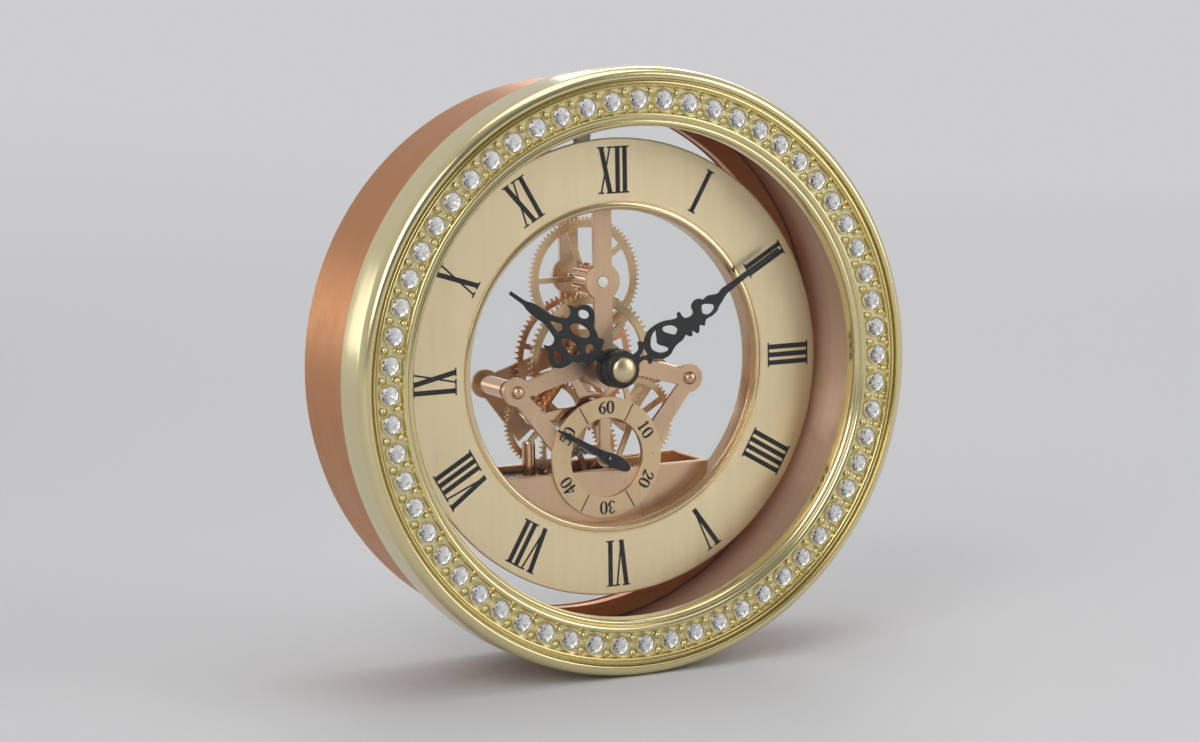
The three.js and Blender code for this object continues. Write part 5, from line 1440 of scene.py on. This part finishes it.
def add_stator():
    legs = [bar(ROTOR, 3.4, post, 1.8) for post in COIL_POSTS]
    iron = [*discs(4.8, 56, ROTOR), *legs, *discs(COIL_POST_R, 32, *COIL_POSTS)]
    outline = united(iron, discs(MAGNET_R + 0.4, 40, ROTOR))
    leaf = sheet("lamination", outline, STACK_FRONT, STACK_FRONT + 0.24, 0.04, 1)
    stack = in_row("laminations", leaf, 3, (0, 0.28, 0), ROSE_BRIGHT)
    posts = [ring("post", 0, COIL_POST_R, PLATE_BACK, CORE_BACK, 32, p, 0.15) for p in COIL_POSTS]
    core = sheet("core", [bar(COIL_POSTS[0], 2, COIL_POSTS[1], 2)], STACK_BACK + 0.002, CORE_BACK, 0.1)
    head = [(0, CORE_BACK - 0.05), (0.9, CORE_BACK - 0.05), (0.7, CORE_BACK + 0.4), (0, CORE_BACK + 0.5)]
    heads = [lathe("head", rounded(head, 0.1), 24, p) for p in COIL_POSTS]
    dress(joined("stator_frame", stack, *posts, core, *heads), ROSE_BRIGHT, "stator")


def add_coil():
    """Layers of fine copper wire between two cheeks, on the core bar."""
    def on_bar(x, depth, z):
        return Vector((x, -z, depth)) * MM

    end = COIL_LENGTH / 2
    length = COIL_LENGTH - 1.2
    wire = wound("wire", 30.0, 2.02, 2.02, length, 0.135, 6, 20, WIRE)
    wire.transform(Matrix.Translation(Vector((0, 0, -length / 2 * MM))))
    body = lathe("wound", box(1.4, 1.97, -end + 0.4, end - 0.4), 32, CENTRE, on_bar)
    cheeks = [(1, ring("cheek", 0.7, CHEEK_R, d, d + CHEEK, 32, CENTRE, 0.1, on_bar)) for d in (-end, end - CHEEK)]
    coil = joined("motor_coil", wire, body, *cheeks)
    (ax, az), (bx, bz) = COIL_POSTS
    middle = spot((ax + bx) / 2, STACK_BACK + 0.6, (az + bz) / 2)
    along = Vector((bx - ax, 0, bz - az)).normalized()
    coil.transform(Matrix.Translation(middle) @ Vector((0, 0, 1)).rotation_difference(along).to_matrix().to_4x4())
    dress(coil, [WIRE, BLACK], "coil", crease=50)


def add_cock():
    arms = [bar(COCK_PINS[0], 2.6, ROTOR, 3), bar(ROTOR, 3, COCK_PINS[1], 2.6)]
    outline = united([*arms, *discs(1.5, 32, ROTOR), *discs(1.3, 28, *COCK_PINS)], discs(PIVOT_HOLE, 16, ROTOR))
    pin = rounded([(0, PLATE_BACK), (0.8, PLATE_BACK), (0.8, COCK_BACK + 0.3), (0, COCK_BACK + 0.45)], 0.1)
    pins = [lathe("pin", pin, 24, p) for p in COCK_PINS]
    cock = joined("rotor_cock", sheet("arm", outline, COCK_FRONT, COCK_BACK, 0.12, 3), *pins)
    dress(cock, ROSE, "motor_cock")


add_bezel()
add_stones()
add_case()
add_dial()
add_numerals()
add_seconds_dial()
add_plates()
add_pillars()
add_base()
add_cell()
add_board()
add_rear()
add_hands()
add_motion_work()
add_train()
add_rotor()
add_stator()
add_coil()
add_cock()


# Floor, light and camera.
def add_stage():
    """Pale floor that sweeps up behind the clock into a plain backdrop."""
    floor = -BEZEL_R - SCREW_Z
    profile = [(-3000, 0), *arc(1100, 900, 900, 900, range(90, -1, -5)), (2000, 3000)]
    count = len(profile)
    corners = [Vector((x, y, floor + z)) * MM for x in (-4000, 4000) for y, z in profile]
    faces = [[i, count + i, count + i + 1, i + 1] for i in range(count - 1)]
    sweep = bpy.data.meshes.new("floor_sweep")
    sweep.from_pydata([tuple(c) for c in corners], [], faces)
    sweep.shade_smooth()
    piece = new_piece("floor_sweep", sweep)
    look, tree, shader, output, place = material("pale_backdrop")
    sums = reckoner(tree)
    cloth = mixed(tree, noise(tree, place, Scale=700, Detail=3), tone(202, 202, 204), tone(208, 208, 210))
    tree.links.new(cloth, shader.inputs["Base Color"])
    shader.inputs["Roughness"].default_value = 0.7
    middle = node(tree, "ShaderNodeVectorMath", {0: place, 1: (0, -0.02, floor * MM)}, operation="SUBTRACT")
    reach = node(tree, "ShaderNodeVectorMath", {0: middle.outputs[0]}, operation="LENGTH").outputs["Value"]
    path = node(tree, "ShaderNodeLightPath").outputs
    bent = sums("MAXIMUM", path["Is Glossy Ray"], path["Is Transmission Ray"])
    seen = sums("MAXIMUM", path["Is Camera Ray"], bent)
    far = sums("MULTIPLY", ranged(tree, reach, 0, 1, 0.35, 1.5), seen)
    plain = node(tree, "ShaderNodeEmission", {"Color": cloth, "Strength": 1})
    both = node(tree, "ShaderNodeMixShader", {0: far, 1: shader.outputs[0], 2: plain.outputs[0]})
    tree.links.new(both.outputs[0], output.inputs["Surface"])
    sweep.materials.append(look)


def add_light():
    """Soft boxes: name, place, size and power. Then the faint light of the room."""
    aim = Vector((0, -0.02, -0.065))
    for name, place, size, power in (
        ("key_softbox", (-1.15, -0.95, 0.8), (1.0, 1.2), 11),
        ("fill_softbox", (1.2, -1.1, 0.5), (0.9, 1.2), 7),
        ("top_softbox", (0.2, 0.1, 1.5), (1.4, 1.0), 7),
        ("rear_softbox", (0.9, 1.3, 0.8), (0.8, 0.8), 4),
        ("side_softbox", (-0.85, 1.15, 0.12), (0.55, 0.4), 0.8),
    ):
        lamp = bpy.data.lights.new(name, "AREA")
        lamp.shape = "RECTANGLE"
        lamp.size, lamp.size_y = size
        lamp.energy = power
        holder = new_piece(name, lamp)
        holder.location = place
        holder.rotation_euler = (aim - Vector(place)).to_track_quat("-Z", "Y").to_euler()
    world = bpy.data.worlds.new("studio")
    bpy.context.scene.world = world
    world.use_nodes = True
    tree = world.node_tree
    way = node(tree, "ShaderNodeTexCoord").outputs["Generated"]
    room = tree.nodes["Background"].inputs
    room["Color"].default_value = (0.98, 0.99, 1, 1)
    tree.links.new(ranged(tree, parts_of(tree, way)["Y"], 0.2, 0.58, -0.9, 0.1), room["Strength"])


def add_camera():
    """Camera at the photograph's place, lens and tilt."""
    azimuth, elevation, roll = radians(27.02), radians(7.85), radians(-0.83)
    distance, focal_pixels, image_width = 911.4, 3519.1, 1200
    aim = Vector((-10.62, -46.8, -62.67)) * MM
    towards = Vector((-sin(azimuth) * cos(elevation), -cos(azimuth) * cos(elevation), sin(elevation)))
    right = (-towards).cross(Vector((0, 0, 1))).normalized()
    up = right.cross(-towards)
    c, s = cos(roll), sin(roll)
    axes = Matrix((right * c + up * s, up * c - right * s, towards)).transposed().to_4x4()
    camera = bpy.data.cameras.new("photo_camera")
    camera.sensor_width = 36
    camera.lens = focal_pixels / image_width * camera.sensor_width
    camera.shift_x = -0.005
    camera.clip_start = 0.01
    holder = new_piece("photo_camera", camera)
    holder.matrix_world = Matrix.Translation(aim + towards * distance * MM) @ axes
    bpy.context.scene.camera = holder


add_stage()
add_light()
add_camera()
bpy.context.scene.view_settings.view_transform = "Standard"
